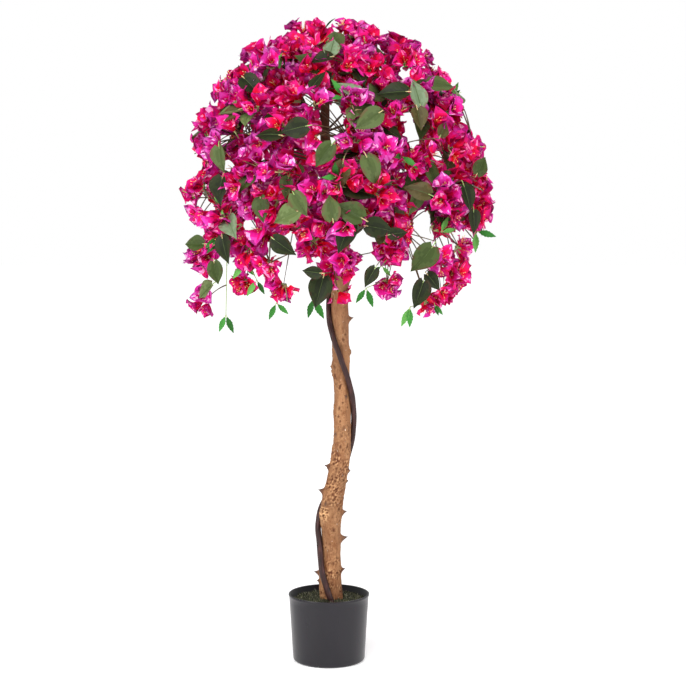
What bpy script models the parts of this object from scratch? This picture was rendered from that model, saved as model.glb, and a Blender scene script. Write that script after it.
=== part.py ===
"""An artificial bougainvillea, grown as a standard tree in a plastic pot.

A thorny trunk stands on the fill of the pot, a dark vine winds round it, and wire
boughs leave it near its top.  Each bough carries one mass of foliage: a stem, with
twigs, leaves and blossom heads fused to it.  The masses share the crown out between
them: each has a heart, and keeps to the space that is nearer to it than to any other.
The lowest masses weep, as sprays round the open space under the crown.

Metres, with +Z up.  The origin is the middle of the pot's flat underside.
"""

import math
import random

import bmesh
import bpy
import numpy as np
from mathutils import Matrix, Vector
from mathutils.bvhtree import BVHTree

PLANT = "artificial_bougainvillea"
TREE_HEIGHT = 1.200
GAP = 0.0003  # kept between pieces that rest on each other

# Pot: a tapered shell with a lip, and the cement that holds the trunk up in it
POT_HEIGHT = 0.127
POT_RIM_RADIUS = 0.0750
POT_FOOT_RADIUS = 0.0680
POT_WALL = 0.0020
POT_CORNER = 0.0060
LIP_HEIGHT = 0.0045
LIP_PROUD = 0.0012
POT_SIDES = 28
FILL_TOP = 0.104
MOSS_TOP = 0.118
MOSS_LUMP = 0.0035
MOSS_SAG = 0.004  # how much lower the bed's dome is at its edge
MOSS_EDGE = 0.003  # its thickness there
MOSS_MERIDIANS = 22
MOSS_RINGS = 8

# Trunk: height, sideways place and radius; it also leans a little to and fro
TRUNK = (
    (0.104, 0.0055, 0.0215),
    (0.165, 0.0030, 0.0208),
    (0.215, 0.0050, 0.0180),
    (0.260, 0.0040, 0.0188),
    (0.300, 0.0060, 0.0204),
    (0.350, 0.0160, 0.0190),
    (0.415, 0.0255, 0.0165),
    (0.495, 0.0250, 0.0156),
    (0.640, 0.0215, 0.0160),
    (0.775, 0.0220, 0.0156),
    (0.877, 0.0275, 0.0142),
    (0.925, 0.0155, 0.0122),
    (0.965, -0.0040, 0.0102),
    (1.070, -0.0060, 0.0072),
)
TRUNK_SWAY = 0.006
TRUNK_SWAY_PITCH = 0.35
TRUNK_RELIEF = 0.05
TRUNK_FLUTES = ((3, 25, 0.60), (2, -41, 0.36))  # flutes round it, their twist and their depth
TRUNK_STEP = 0.040

# Thorns and stubs: height, bearing in degrees and length
THORNS = (
    (0.720, 355, 0.004), (0.645, 5, 0.010), (0.585, 350, 0.003), (0.360, 350, 0.006),
    (0.341, 8, 0.004), (0.281, 355, 0.010), (0.230, 345, 0.015), (0.170, 352, 0.008),
    (0.626, 185, 0.003), (0.555, 172, 0.003), (0.369, 190, 0.009), (0.322, 183, 0.011),
    (0.182, 190, 0.004), (0.163, 178, 0.011), (0.150, 200, 0.005), (0.430, 215, 0.003),
    (0.300, 240, 0.004), (0.500, 300, 0.003), (0.200, 75, 0.010), (0.265, 110, 0.007),
    (0.310, 50, 0.006), (0.470, 80, 0.005), (0.600, 120, 0.004), (0.680, 60, 0.004),
)
THORN_BASE = 0.0058
THORN_POINT = 0.0006
THORN_SINK = 0.003
THORN_LIFT = 0.35
THORN_FLARE = 0.35  # how much wider a longer thorn's base is
THORN_DEPTH = 0.30  # share of the trunk's radius that a thorn's base is sunk by

# Vine: height and the bearing that it has wound to, in degrees
VINE = (
    (0.104, -81), (0.245, -180), (0.335, -270), (0.470, -360), (0.572, -450), (0.664, -540),
    (0.760, -615),
)
VINE_RADIUS = (0.0057, 0.0049)
VINE_CLEARANCE = (0.0008, 0.0014)  # off the trunk in front and behind, and at its sides
VINE_SPLITS = (0.335, 0.560)
VINE_STEP = 0.0125

# Crown: an upright half egg over a skirt that draws in towards the hem
CROWN_AXIS = 0.016
CROWN_WAIST = 0.880
CROWN_RADIUS = 0.296
CROWN_HEM = 0.600
HEM_DRAW = 0.34

# Masses: ring name, how many, first bearing, heart's height and reach, bough's height
RINGS = (
    ("top", 4, 20, 1.070, 0.135, 1.000),
    ("upper", 5, 62, 0.975, 0.205, 0.930),
    ("middle", 6, 30, 0.860, 0.225, 0.860),
    ("hem", 6, 0, 0.722, 0.190, 0.800),
)
SUMMIT_HEIGHT = 1.125  # heart of the mass that stands on the trunk's tip
BOUGH_SHARE = 0.42
BOUGH_RADIUS = (0.0026, 0.0019)
BOUGH_STAGGER = 0.007
STEM_RADIUS = (0.0019, 0.0014)
TWIG_RADIUS = (0.0020, 0.0016)
CELL_MARGIN = 0.0005
LIMB_CLEARANCE = 0.0030
ENTRY_DEPTH = 0.004
HEART_SHARE = 0.6
STEM_BEYOND = 0.045
HEM_REACH = 0.86  # share of the crown's reach that a weeping stem comes to
BOUGH_BENDS = 2
STEM_BENDS = 4
TWIG_BENDS = 2

# Blossom heads and leaves
BRACTS = 3
HEAD_RADIUS = 0.0390
HEAD_NOTCH = 0.80
HEAD_RIM = 0.0130
HEAD_EYE = 0.0060
HEAD_SINK = 0.0045
HEAD_NEAR = 0.003  # a head this close to a twig's end is the twig's own
NECK = 0.006  # stands a head off the side of a weeping twig
LEAF_LENGTH = (0.050, 0.066)
LEAF_WIDTH = 0.72
LEAF_BROADEST = 0.38
LEAF_RIDGE = 0.14
LEAFLET_WIDTH = 0.44
LEAF_THICKNESS = 0.0022
LEAF_SINK = 0.0008
LEAF_DROOP = 0.16
LEAF_LIFT = (-0.2, 0.5)
LEAF_SHARES = (0.88, 0.62)  # where a twig's leaves stand on it
TIP_COUNT = 114
TIP_SPREAD = 1.04
TIP_FLOOR = 0.735
HEAD_INSET = 0.0245
HEAD_LAYER = 0.010
HEAD_LEAN = 0.12  # how much more than outward a head faces up
TWIG_ARCH = 0.16
SEED = 11

# Weeping sprays: bearing, reach and lowest height
SPRAY_LEAF = 0.0425  # what the leaves at a spray's end reach below it
SPRAY_ARCH = 0.10
SIDE_HEAD_SHARES = (0.6, 0.2)
SPRAYS = (
    (180, 0.250, 0.660), (206, 0.235, 0.615), (224, 0.240, 0.690), (241, 0.205, 0.650),
    (257, 0.150, 0.655), (273, 0.185, 0.678), (288, 0.170, 0.685), (298, 0.215, 0.700),
    (311, 0.205, 0.645), (322, 0.235, 0.680), (346, 0.262, 0.745), (8, 0.250, 0.690),
    (27, 0.215, 0.640), (47, 0.240, 0.670), (66, 0.190, 0.620), (84, 0.235, 0.680),
    (103, 0.200, 0.650), (122, 0.240, 0.625), (140, 0.190, 0.665), (158, 0.245, 0.645),
)

PLASTIC = ("pot plastic", (0.035, 0.033, 0.038), 0.45)
CEMENT = ("cement", (0.120, 0.110, 0.100), 0.90)
MOSS = ("moss", (0.060, 0.070, 0.030), 0.95)
BARK = ("bark", (0.520, 0.290, 0.130), 0.80)
VINE_SKIN = ("vine skin", (0.075, 0.030, 0.028), 0.60)
WIRE_COVER = ("bough cover", (0.110, 0.060, 0.035), 0.70)
LEAF_CLOTH = ("leaf cloth", (0.045, 0.100, 0.035), 0.60)
BRACT_CLOTH = ("bract cloth", (0.580, 0.000, 0.180), 0.65)
TWIG_SLOT, LEAF_SLOT, HEAD_SLOT = range(3)


# ---------------------------------------------------------------- small helpers
def lerp(ends, share):
    """The value part of the way between two ends."""
    return ends[0] + (ends[1] - ends[0]) * share


def on_bearing(bearing, reach, height, axis=CROWN_AXIS):
    """The point at a bearing in degrees and a reach from an upright axis."""
    angle = math.radians(bearing)
    return Vector((axis + reach * math.cos(angle), reach * math.sin(angle), height))


def station_value(rows, height, column):
    """A column's value at a height, on a smooth curve through the rows."""
    last = len(rows) - 1
    k = 0
    while k < last - 1 and height > rows[k + 1][0]:
        k += 1
    back, ahead = max(k - 1, 0), min(k + 2, last)
    span = rows[k + 1][0] - rows[k][0]
    slope_in = (rows[k + 1][column] - rows[back][column]) / (rows[k + 1][0] - rows[back][0]) * span
    slope_out = (rows[ahead][column] - rows[k][column]) / (rows[ahead][0] - rows[k][0]) * span
    t = (height - rows[k][0]) / span
    start, end = rows[k][column], rows[k + 1][column]
    rise = t * t * (3 - 2 * t)
    return start + (end - start) * rise + slope_in * t * (1 - t) ** 2 - slope_out * t * t * (1 - t)


def bezier(start, control, end, share):
    """A point on a quadratic curve."""
    return start * (1 - share) ** 2 + control * (2 * share * (1 - share)) + end * share**2


def material(name, colour, roughness):
    """A plain Principled material."""
    made = bpy.data.materials.get(name)
    if made is None:
        made = bpy.data.materials.new(name)
        made.use_nodes = True
        shader = made.node_tree.nodes["Principled BSDF"]
        shader.inputs["Base Color"].default_value = (*colour, 1.0)
        shader.inputs["Roughness"].default_value = roughness
        made.diffuse_color = (*colour, 1.0)
    return made


def add_object(name, data, collection, finish=None):
    """Put an object in a collection, with its material."""
    made = bpy.data.objects.new(name, data)
    collection.objects.link(made)
    if finish:
        data.materials.append(material(*finish))
    return made


def mesh_from(bm, name):
    """Turn a bmesh into a mesh."""
    mesh = bpy.data.meshes.new(name)
    bm.to_mesh(mesh)
    bm.free()
    return mesh


def baked(made):
    """Replace an object's curve or modifiers with the mesh that they make."""
    bpy.context.view_layer.update()
    shape = made.evaluated_get(bpy.context.evaluated_depsgraph_get())
    mesh = bpy.data.meshes.new_from_object(shape)
    if made.type == "CURVE":
        bm = bmesh.new()
        bm.from_mesh(mesh)
        bmesh.ops.remove_doubles(bm, verts=bm.verts, dist=1e-6)
        bmesh.ops.recalc_face_normals(bm, faces=bm.faces)
        bm.to_mesh(mesh)
        bm.free()
        name, collections = made.name, list(made.users_collection)
        bpy.data.objects.remove(made)
        made = bpy.data.objects.new(name, mesh)
        for collection in collections:
            collection.objects.link(made)
        return made
    made.modifiers.clear()
    made.data = mesh
    return made


def tube(name, path, radii, collection, finish=None, resolution=2, section=None):
    """A tube along a path, round or with the section of another curve."""
    curve = bpy.data.curves.new(name, "CURVE")
    curve.dimensions = "3D"
    curve.use_fill_caps = True
    curve.bevel_resolution = resolution
    curve.render_resolution_u = 0
    if section:
        curve.bevel_mode = "OBJECT"
        curve.bevel_object = section
    else:
        curve.bevel_depth = 1.0
    spline = curve.splines.new("POLY")
    spline.points.add(len(path) - 1)
    for point, place, radius in zip(spline.points, path, radii):
        point.co = (*place, 1.0)
        point.radius = radius
    return baked(add_object(name, curve, collection, finish))


def boolean(made, operation, cutter=None, bag=None):
    """Cut or join an object, with one other object or a whole collection."""
    change = made.modifiers.new(operation.lower(), "BOOLEAN")
    change.operation = operation
    change.solver = "EXACT"
    if bag:
        change.operand_type = "COLLECTION"
        change.collection = bag
    else:
        change.object = cutter
    return baked(made)


def largest_body(mesh):
    """Keep only a mesh's largest connected body, in triangles."""
    bm = bmesh.new()
    bm.from_mesh(mesh)
    bm.verts.ensure_lookup_table()
    left = set(bm.verts)
    bodies = []
    while left:
        body = {left.pop()}
        edge = list(body)
        while edge:
            near = {e.other_vert(v) for v in edge for e in v.link_edges} - body
            body |= near
            edge = list(near)
        left -= body
        bodies.append(body)
    keep = max(bodies, key=len)
    bmesh.ops.delete(bm, geom=[v for v in bm.verts if v not in keep], context="VERTS")
    bmesh.ops.triangulate(bm, faces=bm.faces)
    bm.to_mesh(mesh)
    bm.free()


# ---------------------------------------------------------------- pot and moss
def pot_inside(height):
    """Radius of the pot's inner wall at a height."""
    return lerp((POT_FOOT_RADIUS, POT_RIM_RADIUS), height / POT_HEIGHT) - POT_WALL


def turned(name, profile, collection, finish):
    """A solid turned round the pot's axis from a profile."""
    bm = bmesh.new()
    points = [bm.verts.new((radius, 0.0, height)) for radius, height in profile]
    for first, second in zip(points, points[1:]):
        bm.edges.new((first, second))
    made = add_object(name, mesh_from(bm, name), collection, finish)
    screw = made.modifiers.new("turn", "SCREW")
    screw.steps = POT_SIDES
    screw.render_steps = POT_SIDES
    screw.use_merge_vertices = True
    screw.merge_threshold = 0.00001
    return baked(made)


def make_pot(collection):
    """The tapered pot: inner floor, wall, lip and rounded foot."""
    lip = POT_RIM_RADIUS + LIP_PROUD
    under_lip = POT_HEIGHT - LIP_HEIGHT
    profile = [
        (0.0, POT_WALL),
        (pot_inside(POT_CORNER) - POT_CORNER / 2, POT_WALL),
        (pot_inside(POT_CORNER), POT_WALL + POT_CORNER / 2),
        (pot_inside(POT_HEIGHT), POT_HEIGHT - POT_WALL / 2),
        (POT_RIM_RADIUS - POT_WALL / 2, POT_HEIGHT),
        (lip - POT_WALL / 4, POT_HEIGHT),
        (lip, POT_HEIGHT - POT_WALL / 4),
        (lip, under_lip),
        (POT_RIM_RADIUS - POT_WALL / 4, under_lip - POT_WALL / 2),
    ]
    for step in range(4):
        turn = math.radians(90 * step / 3)
        out = POT_FOOT_RADIUS - POT_CORNER * (1 - math.cos(turn))
        profile.append((out, POT_CORNER * (1 - math.sin(turn))))
    profile.append((0.0, 0.0))
    turned("pot", profile, collection, PLASTIC)
    low = POT_WALL + GAP
    fill = [
        (0.0, FILL_TOP),
        (pot_inside(FILL_TOP) - GAP, FILL_TOP),
        (pot_inside(POT_CORNER) - GAP, POT_WALL + POT_CORNER / 2 + GAP),
        (pot_inside(POT_CORNER) - POT_CORNER / 2 - GAP, low),
        (0.0, low),
    ]
    turned("pot_fill", fill, collection, CEMENT)


def make_moss(collection, cutters):
    """A lumpy bed of moss on the fill, open where the trunk and the vine stand."""
    bm = bmesh.new()
    bmesh.ops.create_uvsphere(bm, u_segments=MOSS_MERIDIANS, v_segments=MOSS_RINGS, radius=1.0)
    base = FILL_TOP + GAP
    for vertex in bm.verts:
        x, y, z = vertex.co
        spread = math.hypot(x, y)
        radius = pot_inside(base) - GAP
        lump = math.sin(x * 9 + y * 4) * math.cos(y * 11 - x * 3) * MOSS_LUMP
        high = MOSS_TOP - base + lump - MOSS_SAG * spread**6
        if z > 0.01:
            lift = lerp((high, MOSS_EDGE), spread**8)
        else:
            lift = 0.0 if z < -0.01 else MOSS_EDGE / 2
        vertex.co = (x * radius, y * radius, base + lift)
    moss = add_object("moss", mesh_from(bm, "moss"), collection, MOSS)
    for cutter in cutters:
        moss = boolean(moss, "DIFFERENCE", cutter)
    largest_body(moss.data)


# ---------------------------------------------------------------- trunk and vine
def trunk_centre(height):
    """The middle of the trunk at a height."""
    height = min(max(height, TRUNK[0][0]), TRUNK[-1][0])
    sway = TRUNK_SWAY * math.sin(2 * math.pi * (height - TRUNK[0][0]) / TRUNK_SWAY_PITCH)
    return Vector((station_value(TRUNK, height, 1), sway, height))


def trunk_radius(height):
    """The trunk's mean radius at a height."""
    return station_value(TRUNK, min(max(height, TRUNK[0][0]), TRUNK[-1][0]), 2)


def trunk_tube(name, collection, extra, finish=None):
    """The trunk without its thorns: a tapering, slightly fluted pole."""
    low, high = TRUNK[0][0] + GAP, TRUNK[-1][0]
    rings = round((high - low) / TRUNK_STEP)
    heights = [low, low + TRUNK_STEP / 4]
    heights += [low + (high - low) * k / rings for k in range(1, rings + 1)]
    path = [trunk_centre(h) for h in heights]
    path[1].xy = path[0].xy
    radii = [trunk_radius(h) + extra for h in heights]
    if extra:
        path = [path[0] - Vector((0, 0, TRUNK_STEP)), *path, path[-1] + Vector((0, 0, TRUNK_STEP))]
        radii = [radii[0], *radii, radii[-1]]
    pole = tube(name, path, radii, collection, finish, resolution=4)
    for vertex in pole.data.vertices:
        height = min(max(vertex.co.z, low), high)
        middle = trunk_centre(height)
        off = Vector((vertex.co.x - middle.x, vertex.co.y - middle.y, 0.0))
        turn = math.atan2(off.y, off.x)
        flute = sum(deep * math.sin(n * turn + twist * height) for n, twist, deep in TRUNK_FLUTES)
        vertex.co += off * (TRUNK_RELIEF * flute)
    return pole


def make_trunk(collection):
    """The trunk with its thorns joined on."""
    trunk = trunk_tube("trunk", collection, 0.0, BARK)
    bag = bpy.data.collections.new("thorns")
    bpy.context.scene.collection.children.link(bag)
    for height, bearing, length in THORNS:
        out = on_bearing(bearing, 1.0, THORN_LIFT, 0.0).normalized()
        sunk = trunk_radius(height) * THORN_DEPTH + THORN_SINK
        depth = length + sunk
        root = trunk_centre(height) + out * (trunk_radius(height) - sunk)
        place = Matrix.Translation(root + out * depth / 2)
        bm = bmesh.new()
        bmesh.ops.create_cone(
            bm,
            cap_ends=True,
            segments=6,
            radius1=THORN_BASE + THORN_FLARE * length,
            radius2=THORN_POINT,
            depth=depth + THORN_SINK,
            matrix=place @ out.to_track_quat("Z", "Y").to_matrix().to_4x4(),
        )
        add_object("thorn", mesh_from(bm, "thorn"), bag, BARK)
    trunk = boolean(trunk, "UNION", bag=bag)
    largest_body(trunk.data)
    remove_bag(bag)


def remove_bag(bag):
    """Remove a collection with the objects in it."""
    for made in list(bag.objects):
        bpy.data.objects.remove(made)
    bpy.data.collections.remove(bag)


def vine_point(height):
    """The middle of the vine at a height, as it winds close round the trunk."""
    bearing = station_value(VINE, height, 1)
    beside = 0.5 + 0.5 * math.cos(math.radians(2 * bearing))
    radius = trunk_radius(height) * (1 + TRUNK_RELIEF) + vine_radius(height)
    return trunk_centre(height) + on_bearing(bearing, radius + lerp(VINE_CLEARANCE, beside), 0.0, 0.0)


def vine_radius(height):
    """The vine's radius at a height."""
    return lerp(VINE_RADIUS, (height - VINE[0][0]) / (VINE[-1][0] - VINE[0][0]))


def vine_path(low, high):
    """Points along a length of the vine; it stands upright on its foot, and is cut square."""
    count = round((high - low) / VINE_STEP)
    path = [vine_point(low + (high - low) * k / count) for k in range(count + 1)]
    if low < VINE_SPLITS[0]:
        path[0].xy = path[1].xy
    for end, height, side in ((0, low, 1), (-1, high, -1)):
        if height in VINE_SPLITS:
            above, below = vine_point(height + VINE_STEP / 4), vine_point(height - VINE_STEP / 4)
            ahead = (above - below).normalized()
            cut = path[end] + ahead * side * GAP / 2
            path[end] = cut + ahead * side * VINE_STEP / 4
            path.insert(0 if end == 0 else len(path), cut)
    return path


def make_vine(collection):
    """The vine in three lengths, which meet end to end."""
    ends = (VINE[0][0] + GAP, *VINE_SPLITS, VINE[-1][0])
    for name, low, high in zip(("vine_lower", "vine_middle", "vine_upper"), ends, ends[1:]):
        path = vine_path(low, high)
        tube(name, path, [vine_radius(point.z) for point in path], collection, VINE_SKIN)


def vine_room(collection):
    """A cutter that leaves room for the foot of the vine."""
    path = vine_path(VINE[0][0] + GAP, VINE_SPLITS[0])[:4]
    path.insert(0, path[0] - Vector((0, 0, VINE_STEP)))
    return tube("vine_room", path, [VINE_RADIUS[0] + 2 * GAP] * len(path), collection)


# ---------------------------------------------------------------- plan of the crown
def crown_radius(height, inset=0.0):
    """The reach from the crown's axis, at a height, of its skin or of a layer inside it."""
    if height > CROWN_WAIST:
        rise = min((height - CROWN_WAIST) / (TREE_HEIGHT - inset - CROWN_WAIST), 1.0)
        return (CROWN_RADIUS - inset) * math.sqrt(1 - rise * rise)
    drop = (CROWN_WAIST - height) / (CROWN_WAIST - CROWN_HEM)
    return CROWN_RADIUS * (1 - HEM_DRAW * drop * drop) - inset


def crown_outward(point):
    """The direction that faces out of the crown at a point."""
    off = Vector((point.x - CROWN_AXIS, point.y, (point.z - CROWN_WAIST) * 0.8))
    if point.z < CROWN_WAIST:
        off.z *= 0.6
    return off.normalized()


class Limbs:
    """The trunk, vine and boughs as round segments, to keep clear of."""

    def __init__(self):
        self.starts, self.ends, self.radii = [], [], []

    def add(self, path, radii):
        for k in range(len(path) - 1):
            self.starts.append(tuple(path[k]))
            self.ends.append(tuple(path[k + 1]))
            self.radii.append(max(radii[k], radii[k + 1]))

    def distance(self, points):
        """The least distance from any of the points to a limb's surface."""
        start, end = np.array(self.starts), np.array(self.ends)
        spot = np.array([tuple(p) for p in points])[:, None, :]
        along = end - start
        share = np.clip(((spot - start) * along).sum(-1) / (along * along).sum(-1), 0, 1)
        off = np.linalg.norm(spot - start - share[..., None] * along, axis=-1)
        return float((off - np.array(self.radii)).min())


class Mass:
    """One mass of foliage: its heart, its bough, and what grows on its stem."""

    def __init__(self, name, bearing, heart, bough_height):
        self.name = name
        self.heart = heart
        self.root = trunk_centre(bough_height)
        self.weeps = name.startswith("hem")
        self.end = heart + crown_outward(heart) * STEM_BEYOND
        self.entry = BOUGH_SHARE
        if self.weeps:
            self.end = on_bearing(bearing, crown_radius(heart.z) * HEM_REACH, heart.z - STEM_BEYOND)
        if name == "summit":
            self.root.z += GAP
            self.end = heart + Vector((0, 0, STEM_BEYOND))
            self.entry = 0.0
        share = HEART_SHARE
        near = self.root * (1 - share) ** 2 + self.end * share**2
        self.bend = (heart - near) / (2 * share * (1 - share))
        self.walls = []
        self.twigs, self.leaves, self.heads = [], [], []
        self.twig_skins, self.leaf_skins, self.head_skins = [], [], []

    def limb(self, share):
        """A point on the line of the bough and the stem."""
        return bezier(self.root, self.bend, self.end, share)

    def holds(self, points, room=CELL_MARGIN):
        """Whether the points all lie in the mass's own cell."""
        walls = self.walls
        return all((point - middle).dot(outward) < -room for middle, outward in walls for point in points)

    def shift_inside(self, points):
        """The move that brings points in from the cell's walls."""
        move = Vector((0, 0, 0))
        for middle, outward in self.walls:
            over = max((point - middle).dot(outward) for point in points) + 1.5 * CELL_MARGIN
            if over > 0:
                move -= outward * over
        return move

    def add_twig(self, limbs, path):
        """Add a twig if it keeps to the cell and crosses no limb or head but its own."""
        fine = [a.lerp(b, k / 4) for a, b in zip(path, path[1:]) for k in range(4)]
        room = LIMB_CLEARANCE + TWIG_RADIUS[0]
        skin = ribbon(path, TWIG_RADIUS[0])
        near = HEAD_SINK + HEAD_NEAR
        others = [head for head in self.head_skins if (head.find_nearest(path[-1])[3] or 0) > near]
        if not self.holds(path, CELL_MARGIN + TWIG_RADIUS[0]) or limbs.distance(fine) < room:
            return False
        if any(skin.overlap(other) for other in others + self.leaf_skins):
            return False
        self.twigs.append(path)
        self.twig_skins.append(skin)
        return True

    def add_head(self, limbs, root, facing, neck=0.0, twig=None):
        """Add a blossom head if it keeps to the cell and crosses nothing but its own twig."""
        corners = head_corners(root, facing, neck)
        skin = double_fan(corners, (0, 1), list(range(2, len(corners))))
        if not self.holds(corners) or limbs.distance(between(corners)) < LIMB_CLEARANCE:
            return False
        twigs = [other for k, other in enumerate(self.twig_skins) if k != twig]
        if any(skin.overlap(other) for other in self.head_skins + twigs + self.leaf_skins):
            return False
        self.heads.append((root, facing, neck))
        self.head_skins.append(skin)
        return True

    def add_leaf(self, limbs, twig, root, along, up, length, width):
        """Add a leaf if it keeps to the cell and crosses nothing but its own twig."""
        corners = leaf_corners(root, along, up, length, width)
        skin = double_fan(corners, (4, 5), [0, 2, 1, 3])
        if not self.holds(corners) or limbs.distance(between(corners)) < LIMB_CLEARANCE:
            return False
        others = self.twig_skins[:twig] + self.twig_skins[twig + 1 :]
        if any(skin.overlap(other) for other in others + self.head_skins + self.leaf_skins):
            return False
        self.leaves.append((root, along, up, length, width))
        self.leaf_skins.append(skin)
        return True


def plan_masses():
    """The masses, each with the flat walls of its cell."""
    masses = []
    for ring, count, first, height, reach, bough_height in RINGS:
        for k in range(count):
            bearing = first + 360 * k / count
            step = BOUGH_STAGGER * (k % 3 - 1)
            heart = on_bearing(bearing, reach, height + step)
            masses.append(Mass(f"{ring}_{k + 1}", bearing, heart, bough_height + step))
    tip = trunk_centre(TRUNK[-1][0])
    masses.append(Mass("summit", 0.0, Vector((*tip.xy, SUMMIT_HEIGHT)), tip.z))
    for mass in masses:
        for other in masses:
            if other is not mass:
                outward = (other.heart - mass.heart).normalized()
                mass.walls.append(((mass.heart + other.heart) / 2, outward))
    for mass in masses:
        while mass.entry and not mass.holds([mass.limb(mass.entry)], ENTRY_DEPTH):
            mass.entry += 0.01
    return masses


def plan_limbs(masses):
    """Everything that foliage keeps clear of."""
    limbs = Limbs()
    heights = [0.55 + 0.02 * k for k in range(27)]
    limbs.add([trunk_centre(h) for h in heights], [trunk_radius(h) * (1 + TRUNK_RELIEF) for h in heights])
    heights = [0.55 + 0.01 * k for k in range(22)]
    limbs.add([vine_point(h) for h in heights], [vine_radius(h) for h in heights])
    for mass in masses:
        if mass.entry:
            shares = [mass.entry * k / 6 for k in range(7)]
            limbs.add([mass.limb(s) for s in shares], [lerp(BOUGH_RADIUS, k / 6) for k in range(7)])
    return limbs


def head_corners(root, facing, neck):
    """A blossom head's root, its eye and the points of its rim."""
    turn = facing.to_track_quat("Z", "Y").to_matrix()
    sink = LEAF_SINK if neck else HEAD_SINK
    corners = [root - facing * sink, root + facing * (neck + HEAD_EYE)]
    for k in range(2 * BRACTS):
        angle = math.pi * k / BRACTS
        spread = HEAD_RADIUS * (HEAD_NOTCH if k % 2 else 1.0)
        rim = Vector((spread * math.cos(angle), spread * math.sin(angle), neck + HEAD_RIM))
        corners.append(root + turn @ rim)
    return corners


def leaf_corners(root, along, up, length, width):
    """A leaf's root, tip and sides, and the top and underside of its ridge."""
    side = up.cross(along).normalized()
    turn = Matrix((along, side, along.cross(side))).transposed()
    corners = [Vector((-LEAF_SINK, 0.0, 0.0)), Vector((length, 0.0, -length * LEAF_DROOP))]
    corners += [Vector((length * LEAF_BROADEST, length * width * half, 0.0)) for half in (0.5, -0.5)]
    corners += [Vector((length * LEAF_RIDGE, 0.0, LEAF_THICKNESS * half)) for half in (0.5, -0.5)]
    return [root + turn @ corner for corner in corners]


def double_fan(corners, tips, rim):
    """A closed skin between two tips and the ring of corners round them."""
    around = list(zip(rim, rim[1:] + rim[:1]))
    return BVHTree.FromPolygons(corners, [(tip, *pair) for tip in tips for pair in around])


def ribbon(path, radius):
    """Crossed strips along a twig, to test what would cross it."""
    corners, faces = [], []
    for off in (Vector((radius, 0, 0)), Vector((0, radius, 0)), Vector((0, 0, radius))):
        first = len(corners)
        for point in path:
            corners += [point - off, point + off]
        starts = range(first, len(corners) - 2, 2)
        faces += [(start, start + 1, start + 3, start + 2) for start in starts]
    return BVHTree.FromPolygons(corners, faces)


def between(corners, steps=3):
    """The corners with more points between the first one and the others."""
    first = corners[0]
    return corners + [first.lerp(corner, k / steps) for corner in corners[1:] for k in range(1, steps)]


def crown_tips(chance):
    """Where twigs may end: even steps down the crown, a golden angle apart."""
    golden = 180 * (3 - math.sqrt(5))
    tips = []
    for k in range(TIP_COUNT):
        share = ((k + 0.5) / TIP_COUNT) ** TIP_SPREAD
        height = lerp((TREE_HEIGHT - HEAD_INSET, TIP_FLOOR), share)
        reach = crown_radius(height, HEAD_INSET)
        tips.append(on_bearing(k * golden + chance.uniform(-8, 8), reach, height))
    return tips


def grow_leaf(mass, twig, share, side, chance, limbs, width):
    """A leaf on one side of a twig, where there is room for it."""
    path = mass.twigs[twig]
    place = share * (len(path) - 1)
    low = min(int(place), len(path) - 2)
    root = path[low].lerp(path[low + 1], place - low)
    ahead = (path[low + 1] - path[low]).normalized()
    out = crown_outward(root)
    across = ahead.cross(out).normalized() * side
    for attempt in range(10):
        turn = math.radians(chance.uniform(20, 115))
        along = ahead * math.cos(turn) + across * math.sin(turn) + out * chance.uniform(*LEAF_LIFT)
        along.normalize()
        if attempt % 2:
            along = (along - 2 * across * along.dot(across)).normalized()
        up = (out + Vector((0, 0, 0.5)) + across * chance.uniform(-0.4, 0.4)).normalized()
        length = chance.uniform(*LEAF_LENGTH) * (1 - 0.03 * attempt)
        if abs(along.dot(up)) < 0.85 and mass.add_leaf(limbs, twig, root, along, up, length, width):
            return True
    return False


def grow_twig(mass, tip, limbs, lift):
    """A bent twig from the stem to a tip, where no limb or head is in its way."""
    best = None
    for k in range(8):
        share = lerp((mass.entry + 0.06, 0.97), k / 7)
        start = mass.limb(share)
        ahead = (mass.limb(share + 0.02) - start).normalized()
        way = tip - start
        cost = way.length * (1.6 - way.normalized().dot(ahead))
        if best is None or cost < best[0]:
            best = (cost, start)
    start = best[1]
    for attempt in range(4):
        bend = start.lerp(tip, 0.5) + Vector((0, 0, lift * (tip - start).length * (1 - attempt / 3)))
        if mass.weeps and tip.z < start.z:
            bend = bend.lerp(Vector((tip.x, tip.y, start.z)), 0.6 * (1 - attempt / 3))
        path = [bezier(start, bend, tip, k / TWIG_BENDS) for k in range(TWIG_BENDS + 1)]
        if mass.add_twig(limbs, path):
            return True
    return False


def grow_side_head(mass, twig, share, chance, limbs):
    """A blossom head on a short neck from the side of a weeping twig."""
    path = mass.twigs[twig]
    place = path[-2].lerp(path[-1], share)
    for _ in range(6):
        turn = Vector([chance.uniform(-0.5, 0.5) for _ in range(3)])
        facing = (crown_outward(place) + turn).normalized()
        if mass.add_head(limbs, place, facing, NECK, twig):
            return True
    return False


def grow_head(mass, tip, chance, limbs):
    """A blossom head with its twig, as near to a tip as there is room for."""
    root = tip.copy()
    for attempt in range(6):
        random_turn = Vector([chance.uniform(-0.3, 0.3) for _ in range(3)])
        facing = (crown_outward(root) + Vector((0, 0, HEAD_LEAN)) + random_turn).normalized()
        for _ in range(3):
            root += mass.shift_inside(head_corners(root, facing, 0.0))
        if mass.add_head(limbs, root, facing):
            if grow_twig(mass, root, limbs, TWIG_ARCH):
                return True
            mass.heads.pop()
            mass.head_skins.pop()
        root -= crown_outward(root) * HEAD_LAYER
    return False


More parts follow.
